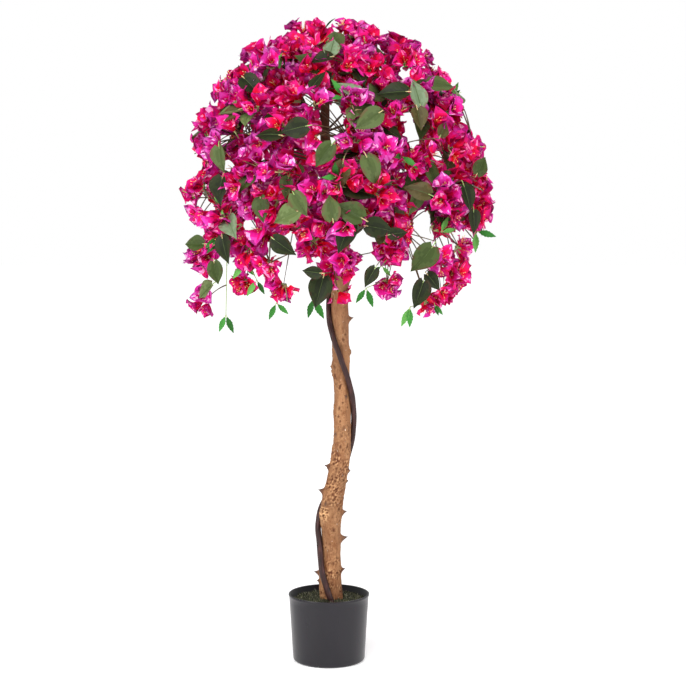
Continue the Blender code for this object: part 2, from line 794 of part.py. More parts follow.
def plan_foliage(masses, limbs):
    """Grow every mass: twigs to the crown's skin, with heads and leaves."""
    chance = random.Random(SEED)
    for bearing, reach, low in SPRAYS:
        tip = on_bearing(bearing, reach, low + SPRAY_LEAF)
        mass = min(masses, key=lambda m: (m.heart - tip).length)
        for attempt in range(6):
            if grow_twig(mass, tip, limbs, SPRAY_ARCH):
                break
            tip = tip.lerp(Vector((*mass.heart.xy, tip.z)), 0.12)
        else:
            continue
        twig = len(mass.twigs) - 1
        out = crown_outward(tip)
        for half in (-1, 1):
            side = out.cross(Vector((0, 0, 1))).normalized() * half
            along = (Vector((0, 0, -1)) + side * 0.5 + out * 0.2).normalized()
            mass.add_leaf(limbs, twig, tip, along, out, LEAF_LENGTH[0], LEAFLET_WIDTH)
        for share in SIDE_HEAD_SHARES:
            if grow_side_head(mass, twig, share, chance, limbs):
                break
    tips = crown_tips(chance)
    for tip in tips[::2] + tips[1::2]:
        mass = min(masses, key=lambda m: (m.heart - tip).length)
        grow_head(mass, tip, chance, limbs)
    for mass in masses:
        for twig in range(len(mass.twigs)):
            for k, share in enumerate(LEAF_SHARES):
                width = LEAFLET_WIDTH if mass.weeps and k else LEAF_WIDTH
                share += chance.uniform(-0.08, 0.08)
                grow_leaf(mass, twig, share, 1 if k % 2 else -1, chance, limbs, width)


# ---------------------------------------------------------------- foliage solids
def foliage_slots(mesh, slot):
    """Give a mesh the three foliage materials, and its faces one of them."""
    for finish in (WIRE_COVER, LEAF_CLOTH, BRACT_CLOTH):
        mesh.materials.append(material(*finish))
    for face in mesh.polygons:
        face.material_index = slot


def leaf_solid(leaf, bag):
    """A pointed leaf of eight faces, thickest near its root."""
    bm = bmesh.new()
    bmesh.ops.create_uvsphere(bm, u_segments=4, v_segments=2, radius=1.0)
    corners = leaf_corners(*leaf)
    order = [(-1, 0, 0), (1, 0, 0), (0, 1, 0), (0, -1, 0), (0, 0, 1), (0, 0, -1)]
    for vertex in bm.verts:
        vertex.co = corners[order.index(tuple(round(value) for value in vertex.co))]
    mesh = mesh_from(bm, "leaf")
    foliage_slots(mesh, LEAF_SLOT)
    return add_object("leaf", mesh, bag)


def head_solid(head, bag):
    """A blossom head: a shallow cup with three broad points."""
    bm = bmesh.new()
    bmesh.ops.create_uvsphere(bm, u_segments=2 * BRACTS, v_segments=2, radius=1.0)
    corners = head_corners(*head)
    for vertex in bm.verts:
        x, y, z = vertex.co
        step = round(math.atan2(y, x) / (math.pi / BRACTS) - 0.5) % (2 * BRACTS)
        vertex.co = corners[step + 2]
        if abs(z) > 0.5:
            vertex.co = corners[1 if z > 0 else 0]
    mesh = mesh_from(bm, "head")
    foliage_slots(mesh, HEAD_SLOT)
    return add_object("head", mesh, bag)


def make_mass(mass, collection, section):
    """Fuse a mass: its stem, twigs, leaves and blossom heads."""
    bag = bpy.data.collections.new(mass.name)
    bpy.context.scene.collection.children.link(bag)
    first = mass.entry
    if mass.entry:
        first += 0.01 * 2 * GAP / (mass.limb(first + 0.01) - mass.limb(first)).length
    shares = [lerp((first, 1.0), k / STEM_BENDS) for k in range(STEM_BENDS + 1)]
    stem = tube(
        f"foliage_{mass.name}",
        [mass.limb(s) for s in shares],
        [lerp(STEM_RADIUS, k / STEM_BENDS) for k in range(STEM_BENDS + 1)],
        collection,
        resolution=1,
    )
    foliage_slots(stem.data, TWIG_SLOT)
    for path in mass.twigs:
        radii = [lerp(TWIG_RADIUS, k / (len(path) - 1)) for k in range(len(path))]
        twig = tube("twig", path, radii, bag, section=section)
        foliage_slots(twig.data, TWIG_SLOT)
    for leaf in mass.leaves:
        leaf_solid(leaf, bag)
    for head in mass.heads:
        head_solid(head, bag)
    stem = boolean(stem, "UNION", bag=bag)
    largest_body(stem.data)
    remove_bag(bag)


def make_boughs(masses, collection, cutter):
    """The boughs, cut to the trunk's side."""
    for mass in masses:
        if not mass.entry:
            continue
        path = [mass.limb(mass.entry * k / BOUGH_BENDS) for k in range(BOUGH_BENDS + 1)]
        radii = [lerp(BOUGH_RADIUS, k / BOUGH_BENDS) for k in range(BOUGH_BENDS + 1)]
        bough = tube(f"bough_{mass.name}", path, radii, collection, WIRE_COVER, resolution=1)
        bough = boolean(bough, "DIFFERENCE", cutter)
        largest_body(bough.data)


def twig_section(collection):
    """The three-sided section of a twig."""
    curve = bpy.data.curves.new("twig_section", "CURVE")
    curve.dimensions = "2D"
    spline = curve.splines.new("POLY")
    spline.points.add(2)
    for k, point in enumerate(spline.points):
        angle = 2 * math.pi * k / 3
        point.co = (math.cos(angle), math.sin(angle), 0.0, 1.0)
    spline.use_cyclic_u = True
    return add_object("twig_section", curve, collection)


def main():
    """Build the whole plant."""
    for made in list(bpy.data.objects):
        bpy.data.objects.remove(made)
    plant = bpy.data.collections.new(PLANT)
    cutters = bpy.data.collections.new("cutters")
    for collection in (plant, cutters):
        bpy.context.scene.collection.children.link(collection)

    trunk_room = trunk_tube("trunk_room", cutters, GAP)
    foot_room = vine_room(cutters)
    section = twig_section(cutters)
    make_pot(plant)
    make_moss(plant, (trunk_room, foot_room))
    make_trunk(plant)
    make_vine(plant)

    masses = plan_masses()
    plan_foliage(masses, plan_limbs(masses))
    make_boughs(masses, plant, trunk_room)
    for mass in masses:
        make_mass(mass, plant, section)

    for made in cutters.objects:
        made.hide_render = True
        made.display_type = "WIRE"
    for made in plant.objects:
        made.data.shade_smooth()
        made.data.set_sharp_from_angle(angle=math.radians(35))


main()
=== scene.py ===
"""The looks of the artificial bougainvillea: bark, vine, boughs, twigs, leaves and blossom.

The crown is planned by the same rule as its solids, draw for draw, and is then carried on
to finer twigs inside the same outline, so every piece stands where its solid does.
Metres, with +Z up.
"""

import math
import random

import bpy
import numpy as np
from mathutils import Matrix, Vector, noise
from mathutils.bvhtree import BVHTree


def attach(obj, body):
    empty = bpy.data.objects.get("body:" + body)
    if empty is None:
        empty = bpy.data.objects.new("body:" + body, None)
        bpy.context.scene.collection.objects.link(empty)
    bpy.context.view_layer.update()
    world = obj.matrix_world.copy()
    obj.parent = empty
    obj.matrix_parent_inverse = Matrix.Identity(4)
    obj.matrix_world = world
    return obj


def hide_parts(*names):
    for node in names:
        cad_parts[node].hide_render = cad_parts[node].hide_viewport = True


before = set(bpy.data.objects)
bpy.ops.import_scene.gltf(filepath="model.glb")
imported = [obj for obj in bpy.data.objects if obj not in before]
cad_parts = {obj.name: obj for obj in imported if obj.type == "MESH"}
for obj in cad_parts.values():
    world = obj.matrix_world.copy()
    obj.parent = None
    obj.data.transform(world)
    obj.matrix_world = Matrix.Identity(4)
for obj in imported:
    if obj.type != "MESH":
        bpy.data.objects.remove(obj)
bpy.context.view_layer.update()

# ---------------------------------------------------------------- sizes shared with the solids
TREE_HEIGHT = 1.200
GAP = 0.0003  # kept between pieces that rest on each other

# Pot: a tapered shell with a lip, and the cement that holds the trunk up in it
POT_HEIGHT = 0.127
POT_RIM_RADIUS = 0.0750
POT_FOOT_RADIUS = 0.0680
POT_WALL = 0.0020
POT_CORNER = 0.0060
LIP_HEIGHT = 0.0045
LIP_PROUD = 0.0012
FILL_TOP = 0.104
MOSS_TOP = 0.118
MOSS_SAG = 0.004  # how much lower the bed's dome is at its edge

# Trunk: height, sideways place and radius; it also leans a little to and fro
TRUNK = (
    (0.104, 0.0055, 0.0215),
    (0.165, 0.0030, 0.0208),
    (0.215, 0.0050, 0.0180),
    (0.260, 0.0040, 0.0188),
    (0.300, 0.0060, 0.0204),
    (0.350, 0.0160, 0.0190),
    (0.415, 0.0255, 0.0165),
    (0.495, 0.0250, 0.0156),
    (0.640, 0.0215, 0.0160),
    (0.775, 0.0220, 0.0156),
    (0.877, 0.0275, 0.0142),
    (0.925, 0.0155, 0.0122),
    (0.965, -0.0040, 0.0102),
    (1.070, -0.0060, 0.0072),
)
TRUNK_SWAY = 0.006
TRUNK_SWAY_PITCH = 0.35
TRUNK_RELIEF = 0.05
TRUNK_FLUTES = ((3, 25, 0.60), (2, -41, 0.36))  # flutes round it, their twist and their depth

# Thorns and stubs: height, bearing in degrees and length
THORNS = (
    (0.720, 355, 0.004), (0.645, 5, 0.010), (0.585, 350, 0.003), (0.360, 350, 0.006),
    (0.341, 8, 0.004), (0.281, 355, 0.010), (0.230, 345, 0.015), (0.170, 352, 0.008),
    (0.626, 185, 0.003), (0.555, 172, 0.003), (0.369, 190, 0.009), (0.322, 183, 0.011),
    (0.182, 190, 0.004), (0.163, 178, 0.011), (0.150, 200, 0.005), (0.430, 215, 0.003),
    (0.300, 240, 0.004), (0.500, 300, 0.003), (0.200, 75, 0.010), (0.265, 110, 0.007),
    (0.310, 50, 0.006), (0.470, 80, 0.005), (0.600, 120, 0.004), (0.680, 60, 0.004),
)
THORN_LIFT = 0.35

# Vine: height and the bearing that it has wound to, in degrees
VINE = (
    (0.104, -81), (0.245, -180), (0.335, -270), (0.470, -360), (0.572, -450), (0.664, -540),
    (0.760, -615),
)
VINE_RADIUS = (0.0057, 0.0049)
VINE_CLEARANCE = (0.0008, 0.0014)  # off the trunk in front and behind, and at its sides
VINE_STEP = 0.0125

# Crown: an upright half egg over a skirt that draws in towards the hem
CROWN_AXIS = 0.016
CROWN_WAIST = 0.880
CROWN_RADIUS = 0.296
CROWN_HEM = 0.600
HEM_DRAW = 0.34
OUTWARD_RISE = (0.8, 0.6)  # how much outward tips up with height, and of that below the waist

# Masses: ring name, how many, first bearing, heart's height and reach, bough's height
RINGS = (
    ("top", 4, 20, 1.070, 0.135, 1.000),
    ("upper", 5, 62, 0.975, 0.205, 0.930),
    ("middle", 6, 30, 0.860, 0.225, 0.860),
    ("hem", 6, 0, 0.722, 0.190, 0.800),
)
SUMMIT_HEIGHT = 1.125  # heart of the mass that stands on the trunk's tip
BOUGH_SHARE = 0.42
BOUGH_RADIUS = (0.0026, 0.0019)
BOUGH_STAGGER = 0.007
TWIG_RADIUS = (0.0020, 0.0016)
CELL_MARGIN = 0.0005
LIMB_CLEARANCE = 0.0030
LIMBS_FROM = 0.55  # the height up from which trunk and vine are kept clear of
ENTRY_DEPTH = 0.004
HEART_SHARE = 0.6
STEM_BEYOND = 0.045
HEM_REACH = 0.86  # share of the crown's reach that a weeping stem comes to
BOUGH_STEPS_KEPT = 6  # straight steps of a bough, to keep clear of
TWIG_STARTS = (0.06, 0.97, 8)  # past its entry and up to where twigs leave a stem; how many places
TWIG_COST = 1.6  # how much dearer a start is than its length, where the twig would turn back
TWIG_TRIES = 4  # each less arched than the last
TWIG_HANG = 0.6  # how far a weeping twig's bend moves out over its tip
TWIG_BENDS = 2

# Blossom heads and leaves
BRACTS = 3
HEAD_RADIUS = 0.0390
HEAD_NOTCH = 0.80
HEAD_RIM = 0.0130
HEAD_EYE = 0.0060
HEAD_SINK = 0.0045
HEAD_NEAR = 0.003  # a head this close to a twig's end is the twig's own
NECK = 0.006  # stands a head off the side of a weeping twig
LEAF_LENGTH = (0.050, 0.066)
LEAF_WIDTH = 0.72
LEAF_BROADEST = 0.38
LEAF_RIDGE = 0.14
LEAFLET_WIDTH = 0.44
LEAF_THICKNESS = 0.0022
LEAF_SINK = 0.0008
LEAF_DROOP = 0.16
LEAF_LIFT = (-0.2, 0.5)
LEAF_TURN = (20, 115)  # degrees off its twig
LEAF_TRIES = 10
LEAF_SHRINK = 0.03  # how much shorter it is at each try
LEAF_ON_EDGE = 0.85  # how closely it may point along its own facing
LEAF_SHIFT = 0.08  # how far it may stand from its share of the twig
LEAF_SHARES = (0.88, 0.62)  # where a twig's leaves stand on it
TIP_COUNT = 114
TIP_SPREAD = 1.04
TIP_FLOOR = 0.735
HEAD_INSET = 0.0245
HEAD_LAYER = 0.010
HEAD_TRIES = 6
HEAD_SCATTER = 0.3  # how far off outward a head may face, and a side head
SIDE_HEAD_SCATTER = 0.5
TIP_JITTER = 8  # degrees
HEAD_LEAN = 0.12  # how much more than outward a head faces up
TWIG_ARCH = 0.16
SEED = 11

# Weeping sprays: bearing, reach and lowest height
SPRAY_LEAF = 0.0425  # what the leaves at a spray's end reach below it
SPRAY_ARCH = 0.10
SIDE_HEAD_SHARES = (0.6, 0.2)
SPRAY_TRIES = 6
SPRAY_DRAW_IN = 0.12  # how far towards its mass a spray moves at each try
SPRAYS = (
    (180, 0.250, 0.660), (206, 0.235, 0.615), (224, 0.240, 0.690), (241, 0.205, 0.650),
    (257, 0.150, 0.655), (273, 0.185, 0.678), (288, 0.170, 0.685), (298, 0.215, 0.700),
    (311, 0.205, 0.645), (322, 0.235, 0.680), (346, 0.262, 0.745), (8, 0.250, 0.690),
    (27, 0.215, 0.640), (47, 0.240, 0.670), (66, 0.190, 0.620), (84, 0.235, 0.680),
    (103, 0.200, 0.650), (122, 0.240, 0.625), (140, 0.190, 0.665), (158, 0.245, 0.645),
)

# ---------------------------------------------------------------- looks: sizes
# Camera, as the plant is seen: its place, its downward tilt, and its lens
CAMERA_SPOT = (0.0267, -2.8, 0.797)
CAMERA_TILT = 4.0
FOCAL_PIXELS = 1500
PHOTO_PIXELS = 686
SENSOR = 36.0

# Pot, turned smooth, and its moss
POT_ROUND = 120
POT_WALL_ROWS = 12
CORNER_STEPS = 8
POT_PAINTED_SHADE_ROWS = CORNER_STEPS + 4  # of its profile, from the floor up to the lip, painted near black as shade
TINY = 1e-5  # stands in for no radius
MOSS_BRINK = 0.0030  # how far the bed dips right at the pot's wall
MOSS_CLUMPS = ((0.0, 60, 0.0030), (1.0, 160, 0.0016))  # layer of noise, waves to a metre, depth
MOSS_RISE = 0.010  # over the cement, where the bed's reach is taken
MOSS_GRID = (34, 108)
MOSS_CROWDING = 0.8  # the power by which its rings crowd outward
MOSS_FIBRES = 2600
MOSS_FIBRE = (0.003, 0.007)
MOSS_FIBRE_SPREAD = 0.985
MOSS_FIBRE_LEAN = (0.1, 1.2)
MOSS_FIBRE_HALF = (0.0003, 0.0006)  # half a fibre's width
MOSS_FIBRE_SINK = 0.0008

# Bark: rows and columns of its skin, and the depth of what it shows
BARK_COLUMNS = 112
BARK_ROW = 0.00125
BARK_ROW_HIDDEN = 0.004
BARK_HIDDEN_FROM = 0.760
BARK_LUMP = (0.0013, 38.0, 0.7)  # depth, waves to a metre, and their share along the trunk
BARK_GRAIN = (0.00045, 190.0, 0.25)
CRUMBLE_WAVES = 330.0  # to a metre, of what makes the pits ragged
CRUMBLE_BANDS = ((0.348, 0.052, 1.0), (0.160, 0.036, 0.8))  # lace of pits: height, spread, share
CRUMBLE_PATCHES = 70.0
CRUMBLE_DEPTH = 0.0014
PIT_COUNT = 200
PITS_CROWDED = 0.62  # share of the pits that lie in their band
PITS_END = 0.80
PIT_BAND = (0.365, 0.075)  # where pits crowd, and how widely
PIT_RADIUS = (0.0008, 0.0028)
PIT_DEPTH = 0.60  # share of the pit's radius
KNOT_EYE = (0.34, 0.8)  # the pit in a knot's middle: its radius and depth, against the knot's
PIT_STRETCH = (0.45, 1.0)
PIT_RAGGED = 2.2
PIT_RIM = (1.7, 2.2, 0.45)  # how far out it lies, how sharp and how high, against the pit
PIT_HALO = (1.9, 3.0, 0.20)  # how far out, how sharp and how pale: a painted highlight round the pit's rim
KNOTS = (  # height, bearing in degrees, radius and how far it stands out
    (0.552, 176, 0.0100, 0.0034), (0.585, 352, 0.0050, 0.0024), (0.623, 186, 0.0050, 0.0020),
    (0.276, 182, 0.0090, 0.0030), (0.720, 356, 0.0060, 0.0030), (0.300, 262, 0.0085, 0.0022),
    (0.440, 268, 0.0060, 0.0018), (0.250, 285, 0.0070, 0.0016), (0.345, 300, 0.0070, 0.0020),
    (0.400, 170, 0.0060, 0.0016), (0.480, 250, 0.0060, 0.0014), (0.330, 90, 0.0080, 0.0024),
    (0.420, 60, 0.0060, 0.0018), (0.520, 110, 0.0070, 0.0020), (0.210, 100, 0.0080, 0.0020),
)
WORN_KNOT = (0.282, 228, 0.012, 0.0026)  # its bark is rubbed off: pale, partly as a painted highlight, with dark cracks
SPIKE_WIDE = (0.0042, 0.30)  # half a thorn's foot across, and how much of its length is added
SPIKE_TALL = (0.0060, 0.62)
SPIKE_POWER = 2.7

# Vine skin
VINE_COLUMNS = 24
VINE_ROW = 0.0020
VINE_HUG = 0.0019  # how much closer the skin comes than the solid
VINE_RIDGES = (5, 0.00022, 160.0)  # how many, how deep, and their twist

# Blossom: florets of three bracts
FLORETS = (3, 3, 4, 4)
FLORET_TILT = (0.25, 1.55)
FLORET_STAND = (0.004, 0.017)
FLORET_JITTER = 0.25  # off even turns round a cluster, against one turn
BRACT_JITTER = 0.18
STAMEN_JITTER = 0.4
FLARE_SPREAD = (0.75, 1.25)
FLORET_TRIES = 4  # each less tilted than the last, where there is little room
CLUSTER_SINK = 0.010  # how far a cluster stands back from its head in the plan
FEWEST_BRACTS = 2
BRACT_LENGTH = (0.0300, 0.0400)
BRACT_WIDTH = (0.62, 0.95)
BRACT_ROWS = 8
BRACT_COLUMNS = 6
BRACT_OUTLINE = (
    (0.00, 0.16), (0.12, 0.38), (0.28, 0.72), (0.42, 0.95), (0.54, 1.00), (0.67, 0.86),
    (0.78, 0.62), (0.88, 0.34), (0.95, 0.14), (1.00, 0.02),
)
BRACT_OPENING = 0.15  # angle off the floret's axis at a bract's foot
BRACT_FLARE = (0.35, 1.70)  # and at its tip
BRACT_FOLD = (-0.30, 0.70)  # how far its halves fold up, against its half width
BRACT_RUFFLE = (0.18, 0.46)  # how deep its edges wave
BRACT_TWIST = 0.7
BRACT_BOW = (0.6, 1.6)  # the power by which its lean grows towards its tip
BRACT_WAVES = (7, 15)  # of its edge, in radians from foot to tip
BRACT_PLEATS = (6, 10)  # across it, in radians
PLEAT_DEPTH = (0.03, 0.13)
BRACT_CUP = 0.4
BRACT_SWAY = 0.2
FLORET_EYE = 0.0020
FAMILY_DEAL = (0, 0, 0, 1, 1, 1, 1, 2, 2, 3)  # which colours a cluster gets, and how often
BRACT_BANDS = (0.24, 0.44, 0.68, 0.92)  # where its colours change, from foot to tip
BRACT_HIGHLIGHT_AND_SHADE_STREAKS = (  # painted highlights on pale crests, then painted shade in deep creases: tone, share of strips, place and half length
    (5, 0.42, (0.40, 0.95), (0.02, 0.14)), (6, 0.30, (0.05, 0.95), (0.04, 0.20)),
)
ZONE_JITTER = 0.10
FACE_JITTER = 0.05
EDGE_LEAD = 0.14  # how much sooner its colours change at its edges
PEDICEL_RADII = (0.0008, 0.0014, 0.0024)
PEDICEL_TONES = 3
STALK_SIDES = 5
STAMENS = (3, 4, 5)
STAMEN_SIDES = 3
STAMEN_LEAN = (0.05, 0.50)
STAMEN_FOOT = 0.004
STAMEN_LENGTH = (0.0120, 0.0180)
STAMEN_RADIUS = 0.00052
ANTHER_RADIUS = 0.00105
TENDRIL_SHARE = 0.60  # of clusters that have a bare stalk beside them
TENDRIL_LENGTH = (0.020, 0.038)
TENDRIL_RADII = (0.0009, 0.0008, 0.0007, 0.0006, 0.0006)
COLLAR_SHARE = 0.22  # of clusters with a leaf that hangs out from under them
COLLAR_LENGTH = (0.044, 0.056)

# Leaves
BLADE_ROWS = 9
BLADE_COLUMNS = 8
BLADE_OUTLINE = (
    (0.00, 0.34), (0.06, 0.66), (0.16, 0.92), (0.30, 1.00), (0.46, 0.94), (0.62, 0.74),
    (0.76, 0.48), (0.87, 0.23), (0.94, 0.09), (1.00, 0.015),
)
BLADE_SCALE = 0.86  # real leaves against the broader leaves of the solids
LEAF_STALK = (0.10, 0.22)  # against its length, as are its lobes and its curl
LEAF_STALK_RADII = (0.0010, 0.0009, 0.0008)
LEAF_LOBE = 0.10
LEAF_CURL = (0.05, 0.45)
LEAF_FOLD = (0.12, 0.60)  # against half its width, as are its cup, waves and twist
LEAF_CUP = 0.12
LEAF_WAVES = (5, 9)  # in radians from foot to tip
LEAF_WAVE_DEPTH = 0.10
LEAF_TWIST = 0.3
LEAF_DEAL = (0, 0, 0, 1, 1, 2, 3, 3, 4, 5)  # which tone a leaf gets, and how often; tone 3 is painted shade, tone 4 a painted sheen
LEAF_PAINTED_SHEEN_FROM = 0.45  # how far out from its midrib a leaf turns lighter, a painted sheen
FLANK_JITTER = 0.14
LEAF_RIM = (0.85, 0.04)  # how far out it may turn brown, and how high its draw must be
RIB_ROWS = (0, 3, 6, 8)
RIB_PROUD = 0.0003
RIB_RADII = (0.0007, 0.0006, 0.0004, 0.0003)
SIDE_LEAF_WIDTH = (0.68, 0.80)
SIDE_LEAF_LENGTH = (0.042, 0.054)
FRONT_LEAF_WIDTH = (0.66, 0.80)
LEAFLET_SCALE = 0.74
LEAFLET_ROWS = 12
LEAFLET_COLUMNS = 5
LEAFLET_STALK = 0.12
LEAFLET_STALK_RADII = (0.0008, 0.0007)
LEAFLET_FOLD = 0.35
LEAFLET_CURL = (0.05, 0.30)
LEAFLET_TONES = 4
NARROW_LEAFLET = 0.34  # a hanging leaflet's width against its length
PAIR_SPREAD = 0.65
PAIR_SIZES = (0.85, 1.05)
LEAFLET_OUTLINE = (
    (0.00, 0.10), (0.14, 0.52), (0.34, 0.96), (0.50, 1.00), (0.68, 0.78), (0.84, 0.44), (1.00, 0.02),
)
TOOTH = 0.14

# Finer growth
CROWN_KINDS = ("twig", "pedicel", "bract", "stamen", "leaf", "leaflet")
CURVE_STEPS = 8
PLANNED_TWIG = (0.0014, 0.0009)
SIDE_NECK = (0.0012, 0.0010)
TWIG_SIDES = 6
TWIG_SWELL = (0.12, 5.1, 90)  # depth, and how fast it goes along a twig and from twig to twig
FINER_TRIES = 5200
EVEN_STEPS = (0.754877, 0.569840)  # shares that fill a square evenly, step by step
FINER_CLEARANCE = 0.022
FINER_ARCH = 0.12
FINER_STEPS = 6
FINER_STARTS = (0.08, 0.96, 8)  # past a mass's entry and up to where they leave it; how many places
FINER_COST = 1.5
FINER_SHORTEST = 0.012
TOO_DEAR = 1.0
FINER_SCATTER = 0.55
FINER_FLOOR = 0.795
FINER_DEPTH = (0.012, 0.085)
FINER_SPACING = 0.0425
FINER_TWIG = (0.0012, 0.0008)
BOUGH_SKIN = (0.0022, 0.0009)
BOUGH_STEPS = 26
BOUGH_SIDES = 10
BOUGH_NEAR = 0.010  # how near the last twig's start its end comes
BOUGH_SWELL = (0.10, 2.3, 70)
KEPT_LEAVES = 0.36  # share of the planned leaves that stay among so much blossom
SIDE_LEAF_SHARE = 0.36  # of finer twigs with a leaf of their own
SIDE_LEAF_PLACE = 0.80
SIDE_TURN = (25, 95)  # degrees off its twig
SIDE_LIFT = (-0.1, 0.6)
SIDE_ON_EDGE = 0.92
SHOOT_COUNT = 26
SHOOT_PLACE = (0.55, 0.9)
SHOOT_LENGTH = (0.018, 0.034)
SHOOT_RADII = (0.0009, 0.0008, 0.0006)
SHOOT_LEAFLET = (0.028, 0.036)
PRUNE_REACH = 0.009  # a head or leaf this close to a pruned twig goes with it
LOOKS_SEED = 5

# Sky, as seen from the front, in the upright plane through the tree's axis
SKYLINE = (  # height, and how far the crown reaches to its left and its right
    (0.780, -0.255, 0.285), (0.800, -0.250, 0.305), (0.850, -0.270, 0.305), (0.890, -0.275, 0.310),
    (0.930, -0.230, 0.285), (0.975, -0.260, 0.290), (1.020, -0.250, 0.245), (1.065, -0.215, 0.255),
    (1.090, -0.210, 0.235), (1.110, -0.180, 0.205), (1.135, -0.175, 0.190), (1.160, -0.140, 0.165),
    (1.175, -0.105, 0.135), (1.200, -0.070, 0.085),
)
SKYLINE_SLACK = 0.004
PRUNE_MARGIN = 0.010  # a twig that ends this close to an opening is left out
LET_STAND = -1.0  # a margin so wide that a listed piece always stands
PLACING_ROUNDS = 4
OPENINGS = (  # across, height and radius
    (0.138, 1.098, 0.005), (0.147, 1.023, 0.006), (0.160, 0.982, 0.007), (0.203, 0.949, 0.007),
    (-0.150, 0.999, 0.006), (-0.193, 0.980, 0.007), (-0.188, 0.932, 0.008), (-0.229, 0.857, 0.007),
    (-0.147, 0.822, 0.008), (-0.072, 0.796, 0.010), (0.172, 0.818, 0.010), (0.073, 0.806, 0.011),
    (0.174, 0.797, 0.018), (0.060, 0.784, 0.013), (0.164, 0.832, 0.006), (0.211, 0.793, 0.005),
    (-0.240, 0.807, 0.008), (0.259, 0.805, 0.006), (0.233, 0.801, 0.006), (0.017, 1.018, 0.009),
    (-0.003, 1.036, 0.007), (-0.003, 1.019, 0.008), (-0.003, 1.002, 0.008), (-0.003, 0.985, 0.008),
    (-0.003, 0.969, 0.007),
)

# What shows at the front, in the same plane
HEM_TOP = 0.785  # below this the crown is open but for these clusters
HEM_EDGE = 0.011  # how far petals may stand out of a cluster's circle
HEM_NEAR = 0.020
HEM_FAN = 0.82  # how far out the stalks of the clusters behind start, against the clusters
HEM_BEHIND = 0.045  # and how far over the hem's top
SHOWN_WEIGHT = 4.0  # of how far off a stalk seems to start, against how far off it does start
PAIR_STALK = (0.0009, 0.0007)
HEM_LAYERS = (0.80, 0.0, -0.80)  # how far forward the clusters hang, against the crown's reach
HEM = (  # middle and radius, where the stalk comes from, and how high it bows
    (-0.231, 0.760, 0.032, -0.217, 0.808, 0.000), (-0.231, 0.680, 0.026, -0.195, 0.717, 0.004),
    (-0.150, 0.779, 0.030, -0.165, 0.821, 0.000), (-0.158, 0.715, 0.022, -0.150, 0.766, 0.000),
    (-0.111, 0.751, 0.018, -0.132, 0.797, 0.000), (-0.085, 0.706, 0.026, -0.113, 0.771, 0.000),
    (-0.029, 0.788, 0.035, -0.085, 0.819, 0.000), (0.010, 0.734, 0.028, -0.007, 0.784, 0.000),
    (0.017, 0.697, 0.022, 0.006, 0.728, 0.000), (0.032, 0.760, 0.026, 0.021, 0.797, 0.000),
    (0.112, 0.777, 0.032, 0.122, 0.847, 0.000), (0.142, 0.808, 0.022, 0.122, 0.844, 0.000),
    (0.109, 0.713, 0.024, 0.103, 0.753, 0.000), (0.204, 0.754, 0.027, 0.055, 0.784, 0.058),
    (0.243, 0.780, 0.022, 0.209, 0.806, 0.004), (0.237, 0.728, 0.024, 0.222, 0.753, 0.000),
    (0.210, 0.697, 0.022, 0.236, 0.719, 0.000), (0.184, 0.676, 0.020, 0.208, 0.689, 0.000),
)
HEM_FLORETS = (  # up to this radius of a circle: how many florets fill it, and their size
    (0.023, 2, 0.85), (0.0285, 3, 0.95), (1.0, 4, 1.00),
)
HEM_PAIRS = (  # leaflets: fork, where the stalk comes from, bearing, length and spread
    (-0.192, 0.654, -0.193, 0.790, -90, 0.034, 0.42), (-0.134, 0.719, -0.135, 0.753, -90, 0.029, 0.60),
    (-0.098, 0.676, -0.093, 0.697, -80, 0.028, 0.70), (-0.029, 0.685, -0.020, 0.715, -85, 0.036, 0.35),
    (0.070, 0.704, 0.075, 0.721, -95, 0.030, 0.60), (0.152, 0.669, 0.165, 0.685, -100, 0.034, 0.20),
    (0.274, 0.810, 0.254, 0.853, -50, 0.036, 0.75), (0.209, 0.808, 0.202, 0.788, 40, 0.028, 0.50),
    (0.099, 0.745, 0.103, 0.760, -95, 0.022, 1.10), (-0.158, 0.749, -0.154, 0.766, -90, 0.028, 1.00),
    (-0.200, 0.801, -0.195, 0.808, 222, 0.036, 0.10), (0.197, 0.674, 0.204, 0.685, -60, 0.022, 0.20),
)
FRONT_LEAVES = (  # middle, the way the tip points in degrees, length, and tone; tone 3 is near black as painted shade, tone 4 pale as a painted sheen
    (-0.142, 1.079, -50, 0.047, 3), (0.038, 1.072, 140, 0.049, 4), (0.073, 1.015, 215, 0.053, 1),
    (0.117, 1.067, 180, 0.053, 3), (0.164, 1.063, 100, 0.049, 4), (0.210, 1.083, 15, 0.051, 1),
    (0.006, 1.147, 80, 0.040, 4), (-0.016, 1.129, 190, 0.040, 3), (-0.018, 1.090, 70, 0.040, 3),
    (-0.183, 1.026, 200, 0.040, 5), (-0.114, 0.991, 160, 0.047, 3), (-0.062, 1.000, 190, 0.047, 3),
    (-0.009, 0.951, 230, 0.047, 0), (0.081, 0.925, -70, 0.055, 1), (0.023, 0.916, -100, 0.047, 5),
    (-0.200, 0.945, -80, 0.047, 1), (-0.202, 0.886, 250, 0.051, 3), (-0.126, 0.851, -80, 0.044, 0),
    (-0.076, 0.840, 200, 0.047, 2), (0.004, 0.855, 100, 0.044, 1), (0.042, 0.845, 150, 0.052, 0),
    (0.257, 0.875, -75, 0.047, 3), (0.168, 0.886, 160, 0.044, 5), (0.212, 0.997, 60, 0.033, 5),
    (0.283, 0.931, 60, 0.040, 0), (0.167, 1.019, -85, 0.040, 5), (0.092, 0.816, -10, 0.047, 3),
    (-0.053, 0.858, -60, 0.044, 1), (-0.247, 0.786, 170, 0.041, 0), (-0.195, 0.777, -75, 0.047, 3),
    (-0.210, 0.732, -80, 0.041, 0), (-0.227, 0.700, 200, 0.041, 2), (-0.083, 0.780, -35, 0.047, 3),
    (-0.018, 0.695, -105, 0.056, 3), (-0.031, 0.734, 175, 0.034, 3), (0.030, 0.801, -110, 0.056, 3),
    (0.129, 0.806, 10, 0.034, 3), (0.077, 0.725, 240, 0.037, 3), (0.178, 0.760, 235, 0.056, 0),
    (0.169, 0.693, 250, 0.050, 3), (0.196, 0.715, -50, 0.037, 3), (0.270, 0.829, -85, 0.041, 3),
)
FRONT_DEPTH = 0.98  # how far forward the broad leaves lie

